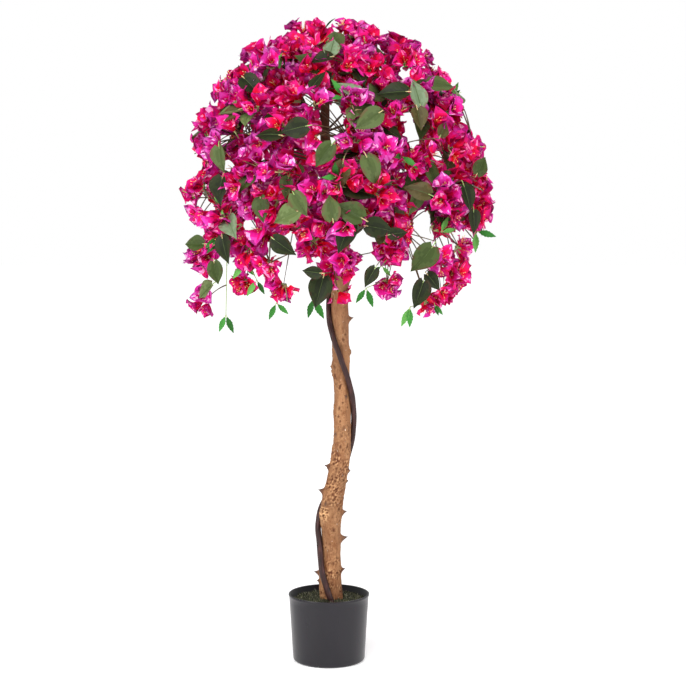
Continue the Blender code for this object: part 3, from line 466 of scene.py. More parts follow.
# Studio
WHITE = (1.0, 1.0, 1.0, 1.0)
SKY_LIGHT = 0.42
FLOOR_HALF = 40.0
FLOOR_NEAR = 0.6
FLOOR_FAR = 3.5
FLOOR_GLOW = (0.34, 0.75)
LAMP_AIM = (0.0, 0.0, 0.75)
LAMPS = (  # name, place, size and power
    ("left", (-2.0, -1.7, 1.3), (0.8, 2.0), 36.0),
    ("right", (2.1, -1.5, 1.2), (0.8, 2.0), 28.0),
    ("front", (-0.5, -2.4, 2.6), (2.0, 1.2), 68.0),
    ("back", (0.4, 2.4, 2.4), (2.0, 1.4), 22.0),
)


# ---------------------------------------------------------------- materials
def rgb(code):
    """A colour as linear light, from its six-figure code."""
    shares = [int(code[k : k + 2], 16) / 255 for k in (0, 2, 4)]
    return [s / 12.92 if s <= 0.04045 else ((s + 0.055) / 1.055) ** 2.4 for s in shares]


class Look:
    """A material in the making, with short calls for the nodes that it uses."""

    def __init__(self, name, roughness, base=None, **sockets):
        self.made = bpy.data.materials.new(name)
        self.made.use_nodes = True
        self.nodes = self.made.node_tree.nodes
        self.links = self.made.node_tree.links
        self.shader = self.nodes["Principled BSDF"]
        self.shader.inputs["Roughness"].default_value = roughness
        if base:
            self.feed(self.shader.inputs["Base Color"], base)
            self.made.diffuse_color = (*rgb(base), 1.0)
        for socket, value in sockets.items():
            self.feed(self.shader.inputs[socket.replace("_", " ")], value)

    def feed(self, socket, value):
        """Link an output to a socket, or set the socket to a number or a colour code."""
        if hasattr(value, "is_output"):
            self.links.new(value, socket)
        else:
            socket.default_value = (*rgb(value), 1.0) if isinstance(value, str) else value

    def node(self, kind, inputs=(), **settings):
        """Add a node, set it up and feed its inputs."""
        node = self.nodes.new("ShaderNode" + kind)
        for name, value in settings.items():
            setattr(node, name, value)
        for socket, value in dict(inputs).items():
            self.feed(node.inputs[socket], value)
        return node

    def place(self, stretch=1.0, source="Object"):
        """Coordinates, stretched along Z."""
        inputs = {"Vector": self.node("TexCoord").outputs[source], "Scale": (1.0, 1.0, stretch)}
        return self.node("Mapping", inputs).outputs["Vector"]

    def noise(self, scale, detail=4.0, roughness=0.55, stretch=1.0, source="Object"):
        """A noise value."""
        inputs = {"Scale": scale, "Detail": detail, "Roughness": roughness}
        return self.node("TexNoise", {"Vector": self.place(stretch, source), **inputs}).outputs["Fac"]

    def ramp(self, value, stops):
        """Colours by value, each stop a place and a colour code."""
        ramp = self.node("ValToRGB", {"Fac": value})
        elements = ramp.color_ramp.elements
        while len(elements) < len(stops):
            elements.new(1.0)
        for element, (place, code) in zip(elements, stops):
            element.position = place
            element.color = (*rgb(code), 1.0)
        return ramp.outputs["Color"]

    def ranged(self, value, start=(0.0, 1.0), end=(0.0, 1.0)):
        """A value carried over from one range to another, and held there."""
        names = ("From Min", "From Max", "To Min", "To Max")
        return self.node("MapRange", {"Value": value, **dict(zip(names, (*start, *end)))}).outputs["Result"]

    def mixed(self, share, first, second):
        """Two colours mixed by a share."""
        return self.node("Mix", {0: share, 6: first, 7: second}, data_type="RGBA").outputs[2]

    def maths(self, operation, *values):
        """A sum on values."""
        return self.node("Math", dict(enumerate(values)), operation=operation).outputs[0]

    def finish(self, relief, bump, rough_value, rough, colour=None):
        """Link the colour, the relief too fine for the mesh, and the roughness."""
        if colour:
            self.feed(self.shader.inputs["Base Color"], colour)
        inputs = {"Height": relief, "Strength": bump[0], "Distance": bump[1]}
        self.feed(self.shader.inputs["Normal"], self.node("Bump", inputs).outputs["Normal"])
        self.feed(self.shader.inputs["Roughness"], self.ranged(rough_value, end=rough))
        return self.made


def woven(name, base, roughness, ribs, crinkle=0.0):
    """Thin printed cloth: a plain colour, with a fine weave, ribs and crinkles."""
    look = Look(name, roughness, base, Specular_IOR_Level=0.12)
    wave = {"Vector": look.place(source="UV"), "Scale": ribs, "Distortion": 1.5, "Detail": 1.0}
    weave = look.noise(900.0, 1.0, source="UV")
    creased = look.noise(160.0, 3.0, 0.6, source="UV")
    ribbed = look.node("TexWave", wave).outputs["Fac"]
    height = look.maths("ADD", ribbed, look.maths("MULTIPLY", weave, 0.6))
    height = look.maths("ADD", height, look.maths("MULTIPLY", creased, crinkle))
    return look.finish(height, (0.55, 0.0005), weave, (roughness - 0.10, roughness + 0.12))


def veined(name, base, roughness):
    """Leaf cloth: a plain colour, with a midrib and side veins pressed in."""
    look = Look(name, roughness, base, Specular_IOR_Level=0.16)
    parts = look.node("SeparateXYZ", {"Vector": look.place(source="UV")})
    side = look.maths("ABSOLUTE", parts.outputs["X"])
    lean = look.maths("SUBTRACT", parts.outputs["Y"], look.maths("MULTIPLY", side, 0.9))
    wave = look.maths("SINE", look.maths("MULTIPLY", lean, 900.0))
    weave = look.noise(700.0, 2.0, source="UV")
    height = look.maths("ADD", look.maths("MULTIPLY", wave, 0.35), weave)
    return look.finish(height, (0.30, 0.0006), weave, (roughness - 0.08, roughness + 0.14))


BARK_STREAK = (55.0, 6.0, 0.65, 0.22)  # a noise: scale, detail, roughness and stretch
BARK_TONES = ((0.27, "5A341E"), (0.43, "8E5F3C"), (0.58, "A8774F"), (0.80, "C79A70"))
BARK_FADE = (14.0, 3.0, 0.55, 0.6)
BARK_STAINS = (  # noise, the range of it that shows, share and tone
    ((42.0, 4.0, 0.6, 0.45), (0.50, 0.72), 0.65, "744626"),
    ((105.0, 4.0, 0.6, 0.5), (0.52, 0.68), 0.70, "6A3A1C"),
    ((330.0, 2.0, 0.5, 0.55), (0.60, 0.70), 0.75, "5E361C"),
)
BARK_FLECK = ((210.0, 2.0, 0.6, 0.8), (0.69, 0.76), 0.7, "E4D6C0")
BARK_PAINTED_LIGHT_AND_SHADE = (  # between these heights the bark turns, by this share, to this tone: painted light on the upper trunk under the crown's shade, then painted shade inside the crown
    ((0.54, 0.60), 0.10, "D2A57C"), ((0.80, 0.90), 0.75, "3E2014"),
)
BARK_FIBRE = (260.0, 5.0, 0.7, 0.15)


def bark_look():
    """Tan natural wood: streaked, stained and speckled, brown with painted shade in its pits, pale with
    painted highlights on its rubbed marks, and with painted light and shade by height.
    """
    look = Look("bark", 0.8, Specular_IOR_Level=0.3)

    def stained(colour, cloud, span, share, tone):
        spots = look.ranged(look.noise(*cloud), span)
        return look.mixed(look.maths("MULTIPLY", spots, share), colour, tone), spots

    def marked(colour, name, tone):
        return look.mixed(look.node("Attribute", attribute_name=name).outputs["Fac"], colour, tone)

    colour = look.ramp(look.noise(*BARK_STREAK), BARK_TONES)
    colour = look.mixed(look.ranged(look.noise(*BARK_FADE), end=(-0.30, 0.95)), colour, "79583F")
    for stain in BARK_STAINS:
        colour, spots = stained(colour, *stain)
    # The pit mark is the wood's own brown with painted shade in its hollows; the pale mark is wear with
    # painted highlights.
    colour = marked(marked(colour, "pit", "4E220E"), "worn_and_highlight", "D8A878")
    colour = marked(stained(colour, *BARK_FLECK)[0], "spike", "463A36")
    height = look.node("SeparateXYZ", {"Vector": look.place()}).outputs["Z"]
    # Painted light and shade by height: lighter from 0.6 m up, then much darker inside the crown.
    for turning, share, tone in BARK_PAINTED_LIGHT_AND_SHADE:
        colour = look.mixed(look.ranged(height, turning, (0.0, share)), colour, tone)
    fibre = look.noise(*BARK_FIBRE)
    relief = look.maths("SUBTRACT", fibre, look.maths("MULTIPLY", spots, 0.5))
    return look.finish(relief, (0.55, 0.0008), fibre, (0.66, 0.95), colour)


STEM_COVER = (160.0, 4.0, 0.6)
POT_CLOUD = (16.0, 3.0, 0.55, 0.4)
POT_GRAIN = (900.0, 3.0)
POT_SCUFF = (130.0, 4.0, 0.55, 0.06)
CLOUDED_LOOKS = {  # noise and its tones, shine, relief and roughness, and the noises of those two
    "vine_skin": (
        (240.0, 5.0, 0.6, 0.10), ((0.30, "1E0F0E"), (0.55, "371D1B"), (0.80, "5C3833")),
        0.30, (0.4, 0.0006), (0.36, 0.60),
    ),
    "twig_cover": (
        STEM_COVER, ((0.30, "382A1E"), (0.52, "56442F"), (0.78, "7A6848")),
        0.35, (0.4, 0.0005), (0.50, 0.72),
    ),
    "bough_cover": (
        STEM_COVER, ((0.30, "2E1E14"), (0.52, "4A3224"), (0.78, "6B5038")),
        0.35, (0.4, 0.0005), (0.58, 0.80),
    ),
    "pot_plastic": (
        POT_CLOUD, ((0.30, "0E0B12"), (0.70, "15111A")), 0.42, (0.12, 0.0003), (0.22, 0.38),
        POT_GRAIN, POT_SCUFF,
    ),
    # The same plastic as outside, painted near black inside as shade.
    "pot_inside": (
        POT_CLOUD, ((0.30, "030305"), (0.70, "06060A")), 0.42, (0.12, 0.0003), (0.22, 0.38),
        POT_GRAIN, POT_SCUFF,
    ),
    "cement": (
        (90.0, 6.0), ((0.3, "54504A"), (0.7, "7C776E")), 0.50, (0.5, 0.0010), (0.80, 0.98),
    ),
    "moss_bed": (
        (120.0, 6.0, 0.7), ((0.30, "1A1914"), (0.48, "2E3024"), (0.62, "464836"), (0.80, "6A6A54")),
        0.20, (0.9, 0.0020), (0.85, 1.0),
    ),
}


def clouded(name):
    """A material with one noise for its colours, and the same or finer ones for the rest."""
    cloud, tones, shine, bump, rough, *finer = CLOUDED_LOOKS[name]
    look = Look(name, sum(rough) / 2, tones[1][1], Specular_IOR_Level=shine)
    value = look.noise(*cloud)
    relief, scuff = [look.noise(*other) for other in finer] or (value, value)
    return look.finish(relief, bump, scuff, rough, look.ramp(value, tones))


BRACT_FAMILIES = (  # each from throat to tip, then a pleat's crest as a painted highlight and its crease as painted shade
    ("D40021", "E0083D", "DC0A54", "D01472", "A41457", "F577AA", "900029"),
    ("D80035", "E00857", "DC0C70", "D4248C", "A01863", "F98DC0", "900039"),
    ("CC0043", "D80869", "D4188A", "D438A1", "9C2678", "F9A3D3", "8A004A"),
    ("C20051", "D0107D", "D02C9A", "D454B0", "983A88", "F5B4DE", "800C59"),
)
LEAF_FAMILIES = (  # body, lighter flank as a painted sheen, brownish edge; the near-black fourth family is painted shade, the pale fifth a painted sheen
    ("34421C", "3D4B24", "483E24"), ("43502A", "4D5B32", "574D30"), ("536236", "5F6E42", "62583A"),
    ("181E0C", "20280F", "2C2210"), ("66785A", "718366", "706C54"), ("40381C", "4A4224", "50341E"),
)
FAMILY_LOOKS = (  # kind, its families, their maker and what it is told
    ("bract", BRACT_FAMILIES, woven, (0.60, 260.0, 3.2)),
    ("leaf", LEAF_FAMILIES, veined, (0.46,)),
)
TONE_LOOKS = (  # kind, name, tones, maker and what it is told
    ("leaflet", "leaflet", ("2C6C26", "3A7E32", "24581F", "5C9A48"), veined, (0.50,)),
    ("pedicel", "pedicel", ("A8BC7C", "C4B080", "90A866"), woven, (0.60, 300.0)),
    ("stamen", "stamen", ("F2AA66", "F8DC96"), woven, (0.55, 300.0)),
    ("moss", "moss_blade", ("3A3C2A", "52543A", "26281C", "7C7A66"), woven, (0.90, 300.0)),
)


def plant_looks():
    """The plain colours that are dealt out over blossom, leaves and stalks, by kind."""
    looks = {"twig": [clouded("twig_cover")], "bough": [clouded("bough_cover")]}
    for kind, families, maker, told in FAMILY_LOOKS:
        looks[kind] = [
            maker(f"{kind}_{family + 1}_{zone + 1}", code, *told)
            for family, codes in enumerate(families)
            for zone, code in enumerate(codes)
        ]
    looks["leaf"].append(veined("leaf_rib", "46562E", 0.55))
    for kind, name, codes, maker, told in TONE_LOOKS:
        looks[kind] = [maker(f"{name}_{k + 1}", code, *told) for k, code in enumerate(codes)]
    return looks


# ---------------------------------------------------------------- meshes
TUBE_END = (0.4, 0.1)  # how far a tube's ends reach on, and how thin they get, against its radius


def grid_faces(rows, columns, closed=False):
    """Faces of a grid of points, row by row; a closed grid's last column meets its first."""
    row, column = np.meshgrid(np.arange(rows - 1), np.arange(columns - (not closed)), indexing="ij")
    beside = (column + 1) % columns
    corners = [row * columns + column, row * columns + beside]
    corners += [(row + 1) * columns + beside, (row + 1) * columns + column]
    return np.stack([corner.ravel() for corner in corners], -1)


class Skin:
    """A mesh in the making: points, four-cornered faces, and a finish for each face."""

    def __init__(self):
        self.points, self.faces, self.finishes, self.spots = [], [], [], []
        self.count = 0

    def add(self, points, faces, finish=0, spots=None):
        """Add points with their faces, a finish for all or each, and their spots on flat cloth."""
        points = np.asarray(points, float).reshape(-1, 3)
        self.points.append(points)
        self.faces.append(faces + self.count)
        self.finishes.append(np.broadcast_to(finish, len(faces)))
        self.spots.append(np.zeros((len(points), 2)) if spots is None else spots)
        self.count += len(points)

    def make(self, name, looks, slot, replaced=()):
        """Make the piece, on the plant's one body."""
        points, faces = np.concatenate(self.points), np.concatenate(self.faces)
        mesh = bpy.data.meshes.new(name)
        mesh.vertices.add(len(points))
        mesh.vertices.foreach_set("co", points.ravel())
        mesh.loops.add(faces.size)
        mesh.loops.foreach_set("vertex_index", faces.ravel().astype(np.int32))
        mesh.polygons.add(len(faces))
        mesh.polygons.foreach_set("loop_start", np.arange(0, faces.size, 4, dtype=np.int32))
        mesh.polygons.foreach_set("use_smooth", np.ones(len(faces), bool))
        for look in looks:
            mesh.materials.append(look)
        mesh.polygons.foreach_set("material_index", np.concatenate(self.finishes).astype(np.int32))
        layer = mesh.uv_layers.new(name="UVMap")
        layer.data.foreach_set("uv", np.concatenate(self.spots)[faces.ravel()].ravel())
        mesh.update(calc_edges=True)
        piece = shown(name, mesh)
        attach(piece, "root")
        if replaced:
            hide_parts(*replaced)
        return piece


def shown(name, data):
    """An object that shows data in the scene."""
    made = bpy.data.objects.new(name, data)
    bpy.context.scene.collection.objects.link(made)
    return made


def unit(vectors):
    """Vectors scaled to length 1."""
    return vectors / np.linalg.norm(vectors, axis=-1, keepdims=True)


def turns(count):
    """Even angles all the way round."""
    return 2 * np.pi * np.arange(count) / count


def tube_points(path, radii, sides):
    """Rings round a path, and one more at each end that is drawn in almost to a point."""
    path, radii = np.array([tuple(p) for p in path]), np.array(radii, float)
    tangent = unit(np.gradient(path, axis=0))
    onward, thin = TUBE_END
    first = path[0] - tangent[0] * radii[0] * onward
    last = path[-1] + tangent[-1] * radii[-1] * onward
    path = np.vstack([first, path, last])
    radii = np.concatenate([[radii[0] * thin], radii, [radii[-1] * thin]])
    tangent = np.vstack([tangent[0], tangent, tangent[-1]])
    reference = np.eye(3)[np.argmin(np.abs(tangent).max(0))]
    side = unit(np.cross(tangent, reference))
    up = np.cross(side, tangent)
    angle = turns(sides)[:, None]
    ring = np.cos(angle) * side[:, None, :] + np.sin(angle) * up[:, None, :]
    points = path[:, None, :] + ring * radii[:, None, None]
    return points.reshape(-1, 3), grid_faces(len(path), sides, True)


def add_tube(skin, path, radii, sides, finish=0):
    """Add a closed tube to a skin."""
    skin.add(*tube_points(path, radii, sides), finish)


def outline(rows, stations):
    """Half widths at even steps along a blade, from its stations."""
    places, widths = zip(*stations)
    return np.interp(np.arange(rows + 1) / rows, places, widths)


# ---------------------------------------------------------------- shared rule: small helpers
UP = Vector((0, 0, 1))
GOLDEN_ANGLE = 180 * (3 - math.sqrt(5))


def lerp(ends, share):
    """The value part of the way between two ends."""
    return ends[0] + (ends[1] - ends[0]) * share


def on_bearing(bearing, reach, height, axis=CROWN_AXIS):
    """The point at a bearing in degrees and a reach from an upright axis."""
    angle = math.radians(bearing)
    return Vector((axis + reach * math.cos(angle), reach * math.sin(angle), height))


def station_value(rows, height, column):
    """A column's value at a height, on a smooth curve through the rows."""
    last = len(rows) - 1
    k = 0
    while k < last - 1 and height > rows[k + 1][0]:
        k += 1
    back, ahead = max(k - 1, 0), min(k + 2, last)
    span = rows[k + 1][0] - rows[k][0]
    slope_in = (rows[k + 1][column] - rows[back][column]) / (rows[k + 1][0] - rows[back][0]) * span
    slope_out = (rows[ahead][column] - rows[k][column]) / (rows[ahead][0] - rows[k][0]) * span
    t = (height - rows[k][0]) / span
    start, end = rows[k][column], rows[k + 1][column]
    rise = t * t * (3 - 2 * t)
    return start + (end - start) * rise + slope_in * t * (1 - t) ** 2 - slope_out * t * t * (1 - t)


def bezier(start, control, end, share):
    """A point on a quadratic curve."""
    return start * (1 - share) ** 2 + control * (2 * share * (1 - share)) + end * share**2


def curve(start, bend, end, steps):
    """Points at even steps on a quadratic curve."""
    return [bezier(start, bend, end, k / steps) for k in range(steps + 1)]


def along_path(path, share):
    """The place part of the way along a path, and the direction of the path there."""
    place = share * (len(path) - 1)
    low = min(int(place), len(path) - 2)
    return path[low].lerp(path[low + 1], place - low), (path[low + 1] - path[low]).normalized()


def nearest_mass(masses, spot):
    """The mass whose heart is nearest to a spot."""
    return min(masses, key=lambda mass: (mass.heart - spot).length)


def scattered(chance, reach):
    """A random step, of up to the same reach along each axis."""
    return Vector([chance.uniform(-reach, reach) for _ in range(3)])


def pot_inside(height):
    """Radius of the pot's inner wall at a height."""
    return lerp((POT_FOOT_RADIUS, POT_RIM_RADIUS), height / POT_HEIGHT) - POT_WALL


def trunk_centre(height):
    """The middle of the trunk at a height."""
    height = min(max(height, TRUNK[0][0]), TRUNK[-1][0])
    sway = TRUNK_SWAY * math.sin(2 * math.pi * (height - TRUNK[0][0]) / TRUNK_SWAY_PITCH)
    return Vector((station_value(TRUNK, height, 1), sway, height))


def trunk_radius(height):
    """The trunk's mean radius at a height."""
    return station_value(TRUNK, min(max(height, TRUNK[0][0]), TRUNK[-1][0]), 2)


def vine_point(height):
    """The middle of the vine at a height, as it winds close round the trunk."""
    bearing = station_value(VINE, height, 1)
    beside = 0.5 + 0.5 * math.cos(math.radians(2 * bearing))
    radius = trunk_radius(height) * (1 + TRUNK_RELIEF) + vine_radius(height)
    return trunk_centre(height) + on_bearing(bearing, radius + lerp(VINE_CLEARANCE, beside), 0.0, 0.0)


def vine_radius(height):
    """The vine's radius at a height."""
    return lerp(VINE_RADIUS, (height - VINE[0][0]) / (VINE[-1][0] - VINE[0][0]))


# ---------------------------------------------------------------- plan of the crown
def crown_radius(height, inset=0.0):
    """The reach from the crown's axis, at a height, of its skin or of a layer inside it."""
    if height > CROWN_WAIST:
        rise = min((height - CROWN_WAIST) / (TREE_HEIGHT - inset - CROWN_WAIST), 1.0)
        return (CROWN_RADIUS - inset) * math.sqrt(1 - rise * rise)
    drop = (CROWN_WAIST - height) / (CROWN_WAIST - CROWN_HEM)
    return CROWN_RADIUS * (1 - HEM_DRAW * drop * drop) - inset


def crown_outward(point):
    """The direction that faces out of the crown at a point."""
    off = Vector((point.x - CROWN_AXIS, point.y, (point.z - CROWN_WAIST) * OUTWARD_RISE[0]))
    if point.z < CROWN_WAIST:
        off.z *= OUTWARD_RISE[1]
    return off.normalized()


class Limbs:
    """The trunk, vine and boughs as round segments, to keep clear of."""

    def __init__(self):
        self.starts, self.ends, self.radii = [], [], []

    def add(self, path, radii):
        for k in range(len(path) - 1):
            self.starts.append(tuple(path[k]))
            self.ends.append(tuple(path[k + 1]))
            self.radii.append(max(radii[k], radii[k + 1]))

    def distance(self, points):
        """The least distance from any of the points to a limb's surface."""
        start, end = np.array(self.starts), np.array(self.ends)
        spot = np.array([tuple(p) for p in points])[:, None, :]
        along = end - start
        share = np.clip(((spot - start) * along).sum(-1) / (along * along).sum(-1), 0, 1)
        off = np.linalg.norm(spot - start - share[..., None] * along, axis=-1)
        return float((off - np.array(self.radii)).min())


class Mass:
    """One mass of foliage: its heart, its bough, and what grows on its stem."""

    def __init__(self, name, bearing, heart, bough_height):
        self.name = name
        self.ring = name.split("_")[0]
        self.heart = heart
        self.root = trunk_centre(bough_height)
        self.weeps = self.ring == "hem"
        self.end = heart + crown_outward(heart) * STEM_BEYOND
        self.entry = BOUGH_SHARE
        if self.weeps:
            self.end = on_bearing(bearing, crown_radius(heart.z) * HEM_REACH, heart.z - STEM_BEYOND)
        if name == "summit":
            self.root.z += GAP
            self.end = heart + UP * STEM_BEYOND
            self.entry = 0.0
        share = HEART_SHARE
        near = self.root * (1 - share) ** 2 + self.end * share**2
        self.bend = (heart - near) / (2 * share * (1 - share))
        self.walls = []
        self.twigs, self.leaves, self.heads = [], [], []
        self.twig_skins, self.leaf_skins, self.head_skins = [], [], []

    def limb(self, share):
        """A point on the line of the bough and the stem."""
        return bezier(self.root, self.bend, self.end, share)

    def holds(self, points, room=CELL_MARGIN):
        """Whether the points all lie in the mass's own cell."""
        walls = self.walls
        return all((point - middle).dot(outward) < -room for middle, outward in walls for point in points)

    def shift_inside(self, points):
        """The move that brings points in from the cell's walls."""
        move = Vector((0, 0, 0))
        for middle, outward in self.walls:
            over = max((point - middle).dot(outward) for point in points) + 1.5 * CELL_MARGIN
            if over > 0:
                move -= outward * over
        return move

    def add_twig(self, limbs, path):
        """Add a twig if it keeps to the cell and crosses no limb or head but its own."""
        fine = [a.lerp(b, k / 4) for a, b in zip(path, path[1:]) for k in range(4)]
        room = LIMB_CLEARANCE + TWIG_RADIUS[0]
        skin = ribbon(path, TWIG_RADIUS[0])
        near = HEAD_SINK + HEAD_NEAR
        others = [head for head in self.head_skins if (head.find_nearest(path[-1])[3] or 0) > near]
        if not self.holds(path, CELL_MARGIN + TWIG_RADIUS[0]) or limbs.distance(fine) < room:
            return False
        if any(skin.overlap(other) for other in others + self.leaf_skins):
            return False
        self.twigs.append(path)
        self.twig_skins.append(skin)
        return True

    def fits(self, limbs, corners, skin, twig):
        """Whether a head or leaf keeps to the cell and crosses nothing but its own twig."""
        if not self.holds(corners) or limbs.distance(between(corners)) < LIMB_CLEARANCE:
            return False
        twigs = [other for k, other in enumerate(self.twig_skins) if k != twig]
        return not any(skin.overlap(other) for other in twigs + self.head_skins + self.leaf_skins)

    def add_head(self, limbs, root, facing, neck=0.0, twig=None):
        """Add a blossom head if it fits."""
        corners = head_corners(root, facing, neck)
        skin = double_fan(corners, (0, 1), list(range(2, len(corners))))
        if not self.fits(limbs, corners, skin, twig):
            return False
        self.heads.append((root, facing, neck))
        self.head_skins.append(skin)
        return True

    def add_leaf(self, limbs, twig, root, along, up, length, width):
        """Add a leaf if it fits."""
        corners = leaf_corners(root, along, up, length, width)
        skin = double_fan(corners, (4, 5), [0, 2, 1, 3])
        if not self.fits(limbs, corners, skin, twig):
            return False
        self.leaves.append((root, along, up, length, width))
        self.leaf_skins.append(skin)
        return True


def plan_masses():
    """The masses, each with the flat walls of its cell."""
    masses = []
    for ring, count, first, height, reach, bough_height in RINGS:
        for k in range(count):
            bearing = first + 360 * k / count
            step = BOUGH_STAGGER * (k % 3 - 1)
            heart = on_bearing(bearing, reach, height + step)
            masses.append(Mass(f"{ring}_{k + 1}", bearing, heart, bough_height + step))
    tip = trunk_centre(TRUNK[-1][0])
    masses.append(Mass("summit", 0.0, Vector((*tip.xy, SUMMIT_HEIGHT)), tip.z))
    for mass in masses:
        for other in masses:
            if other is not mass:
                outward = (other.heart - mass.heart).normalized()
                mass.walls.append(((mass.heart + other.heart) / 2, outward))
    for mass in masses:
        while mass.entry and not mass.holds([mass.limb(mass.entry)], ENTRY_DEPTH):
            mass.entry += 0.01
    return masses


def plan_limbs(masses):
    """Everything that foliage keeps clear of."""
    limbs = Limbs()
    heights = [LIMBS_FROM + 0.02 * k for k in range(27)]
    limbs.add([trunk_centre(h) for h in heights], [trunk_radius(h) * (1 + TRUNK_RELIEF) for h in heights])
    heights = [LIMBS_FROM + 0.01 * k for k in range(22)]
    limbs.add([vine_point(h) for h in heights], [vine_radius(h) for h in heights])
    steps = BOUGH_STEPS_KEPT
    for mass in masses:
        if mass.entry:
            path = [mass.limb(mass.entry * k / steps) for k in range(steps + 1)]
            limbs.add(path, [lerp(BOUGH_RADIUS, k / steps) for k in range(steps + 1)])
    return limbs


def head_corners(root, facing, neck):
    """A blossom head's root, its eye and the points of its rim."""
    turn = facing.to_track_quat("Z", "Y").to_matrix()
    sink = LEAF_SINK if neck else HEAD_SINK
    corners = [root - facing * sink, root + facing * (neck + HEAD_EYE)]
    for k in range(2 * BRACTS):
        angle = math.pi * k / BRACTS
        spread = HEAD_RADIUS * (HEAD_NOTCH if k % 2 else 1.0)
        rim = Vector((spread * math.cos(angle), spread * math.sin(angle), neck + HEAD_RIM))
        corners.append(root + turn @ rim)
    return corners


def leaf_corners(root, along, up, length, width):
    """A leaf's root, tip and sides, and the top and underside of its ridge."""
    side = up.cross(along).normalized()
    turn = Matrix((along, side, along.cross(side))).transposed()
    corners = [Vector((-LEAF_SINK, 0.0, 0.0)), Vector((length, 0.0, -length * LEAF_DROOP))]
    corners += [Vector((length * LEAF_BROADEST, length * width * half, 0.0)) for half in (0.5, -0.5)]
    corners += [Vector((length * LEAF_RIDGE, 0.0, LEAF_THICKNESS * half)) for half in (0.5, -0.5)]
    return [root + turn @ corner for corner in corners]


def double_fan(corners, tips, rim):
    """A closed skin between two tips and the ring of corners round them."""
    around = list(zip(rim, rim[1:] + rim[:1]))
    return BVHTree.FromPolygons(corners, [(tip, *pair) for tip in tips for pair in around])


def ribbon(path, radius):
    """Crossed strips along a twig, to test what would cross it."""
    corners, faces = [], []
    for off in (Vector((radius, 0, 0)), Vector((0, radius, 0)), Vector((0, 0, radius))):
        first = len(corners)
        for point in path:
            corners += [point - off, point + off]
        starts = range(first, len(corners) - 2, 2)
        faces += [(start, start + 1, start + 3, start + 2) for start in starts]
    return BVHTree.FromPolygons(corners, faces)


def between(corners, steps=3):
    """The corners with more points between the first one and the others."""
    first = corners[0]
    return corners + [first.lerp(corner, k / steps) for corner in corners[1:] for k in range(1, steps)]


def crown_tips(chance):
    """Where twigs may end: even steps down the crown, a golden angle apart."""
    tips = []
    for k in range(TIP_COUNT):
        share = ((k + 0.5) / TIP_COUNT) ** TIP_SPREAD
        height = lerp((TREE_HEIGHT - HEAD_INSET, TIP_FLOOR), share)
        reach = crown_radius(height, HEAD_INSET)
        tips.append(on_bearing(k * GOLDEN_ANGLE + chance.uniform(-TIP_JITTER, TIP_JITTER), reach, height))
    return tips


def grow_leaf(mass, twig, share, side, chance, limbs, width):
    """A leaf on one side of a twig, where there is room for it."""
    root, ahead = along_path(mass.twigs[twig], share)
    out = crown_outward(root)
    across = ahead.cross(out).normalized() * side
    for attempt in range(LEAF_TRIES):
        turn = math.radians(chance.uniform(*LEAF_TURN))
        along = ahead * math.cos(turn) + across * math.sin(turn) + out * chance.uniform(*LEAF_LIFT)
        along.normalize()
        if attempt % 2:
            along = (along - 2 * across * along.dot(across)).normalized()
        up = (out + UP * 0.5 + across * chance.uniform(-0.4, 0.4)).normalized()
        length = chance.uniform(*LEAF_LENGTH) * (1 - LEAF_SHRINK * attempt)
        upright = abs(along.dot(up)) < LEAF_ON_EDGE
        if upright and mass.add_leaf(limbs, twig, root, along, up, length, width):
            return True
    return False


def grow_twig(mass, tip, limbs, lift):
    """A bent twig from the stem to a tip, where no limb or head is in its way."""
    best = None
    past, last, count = TWIG_STARTS
    for k in range(count):
        share = lerp((mass.entry + past, last), k / (count - 1))
        start = mass.limb(share)
        ahead = (mass.limb(share + 0.02) - start).normalized()
        way = tip - start
        cost = way.length * (TWIG_COST - way.normalized().dot(ahead))
        if best is None or cost < best[0]:
            best = (cost, start)
    start = best[1]
    for attempt in range(TWIG_TRIES):
        arched = 1 - attempt / (TWIG_TRIES - 1)
        bend = start.lerp(tip, 0.5) + UP * (lift * (tip - start).length * arched)
        if mass.weeps and tip.z < start.z:
            bend = bend.lerp(Vector((tip.x, tip.y, start.z)), TWIG_HANG * arched)
        if mass.add_twig(limbs, curve(start, bend, tip, TWIG_BENDS)):
            return True
    return False


def grow_side_head(mass, twig, share, chance, limbs):
    """A blossom head on a short neck from the side of a weeping twig."""
    path = mass.twigs[twig]
    place = path[-2].lerp(path[-1], share)
    for _ in range(HEAD_TRIES):
        facing = (crown_outward(place) + scattered(chance, SIDE_HEAD_SCATTER)).normalized()
        if mass.add_head(limbs, place, facing, NECK, twig):
            return True
    return False


def grow_head(mass, tip, chance, limbs):
    """A blossom head with its twig, as near to a tip as there is room for."""
    root = tip.copy()
    for _ in range(HEAD_TRIES):
        facing = (crown_outward(root) + UP * HEAD_LEAN + scattered(chance, HEAD_SCATTER)).normalized()
        for _ in range(3):
            root += mass.shift_inside(head_corners(root, facing, 0.0))
        if mass.add_head(limbs, root, facing):
            if grow_twig(mass, root, limbs, TWIG_ARCH):
                return True
            mass.heads.pop()
            mass.head_skins.pop()
        root -= crown_outward(root) * HEAD_LAYER
    return False


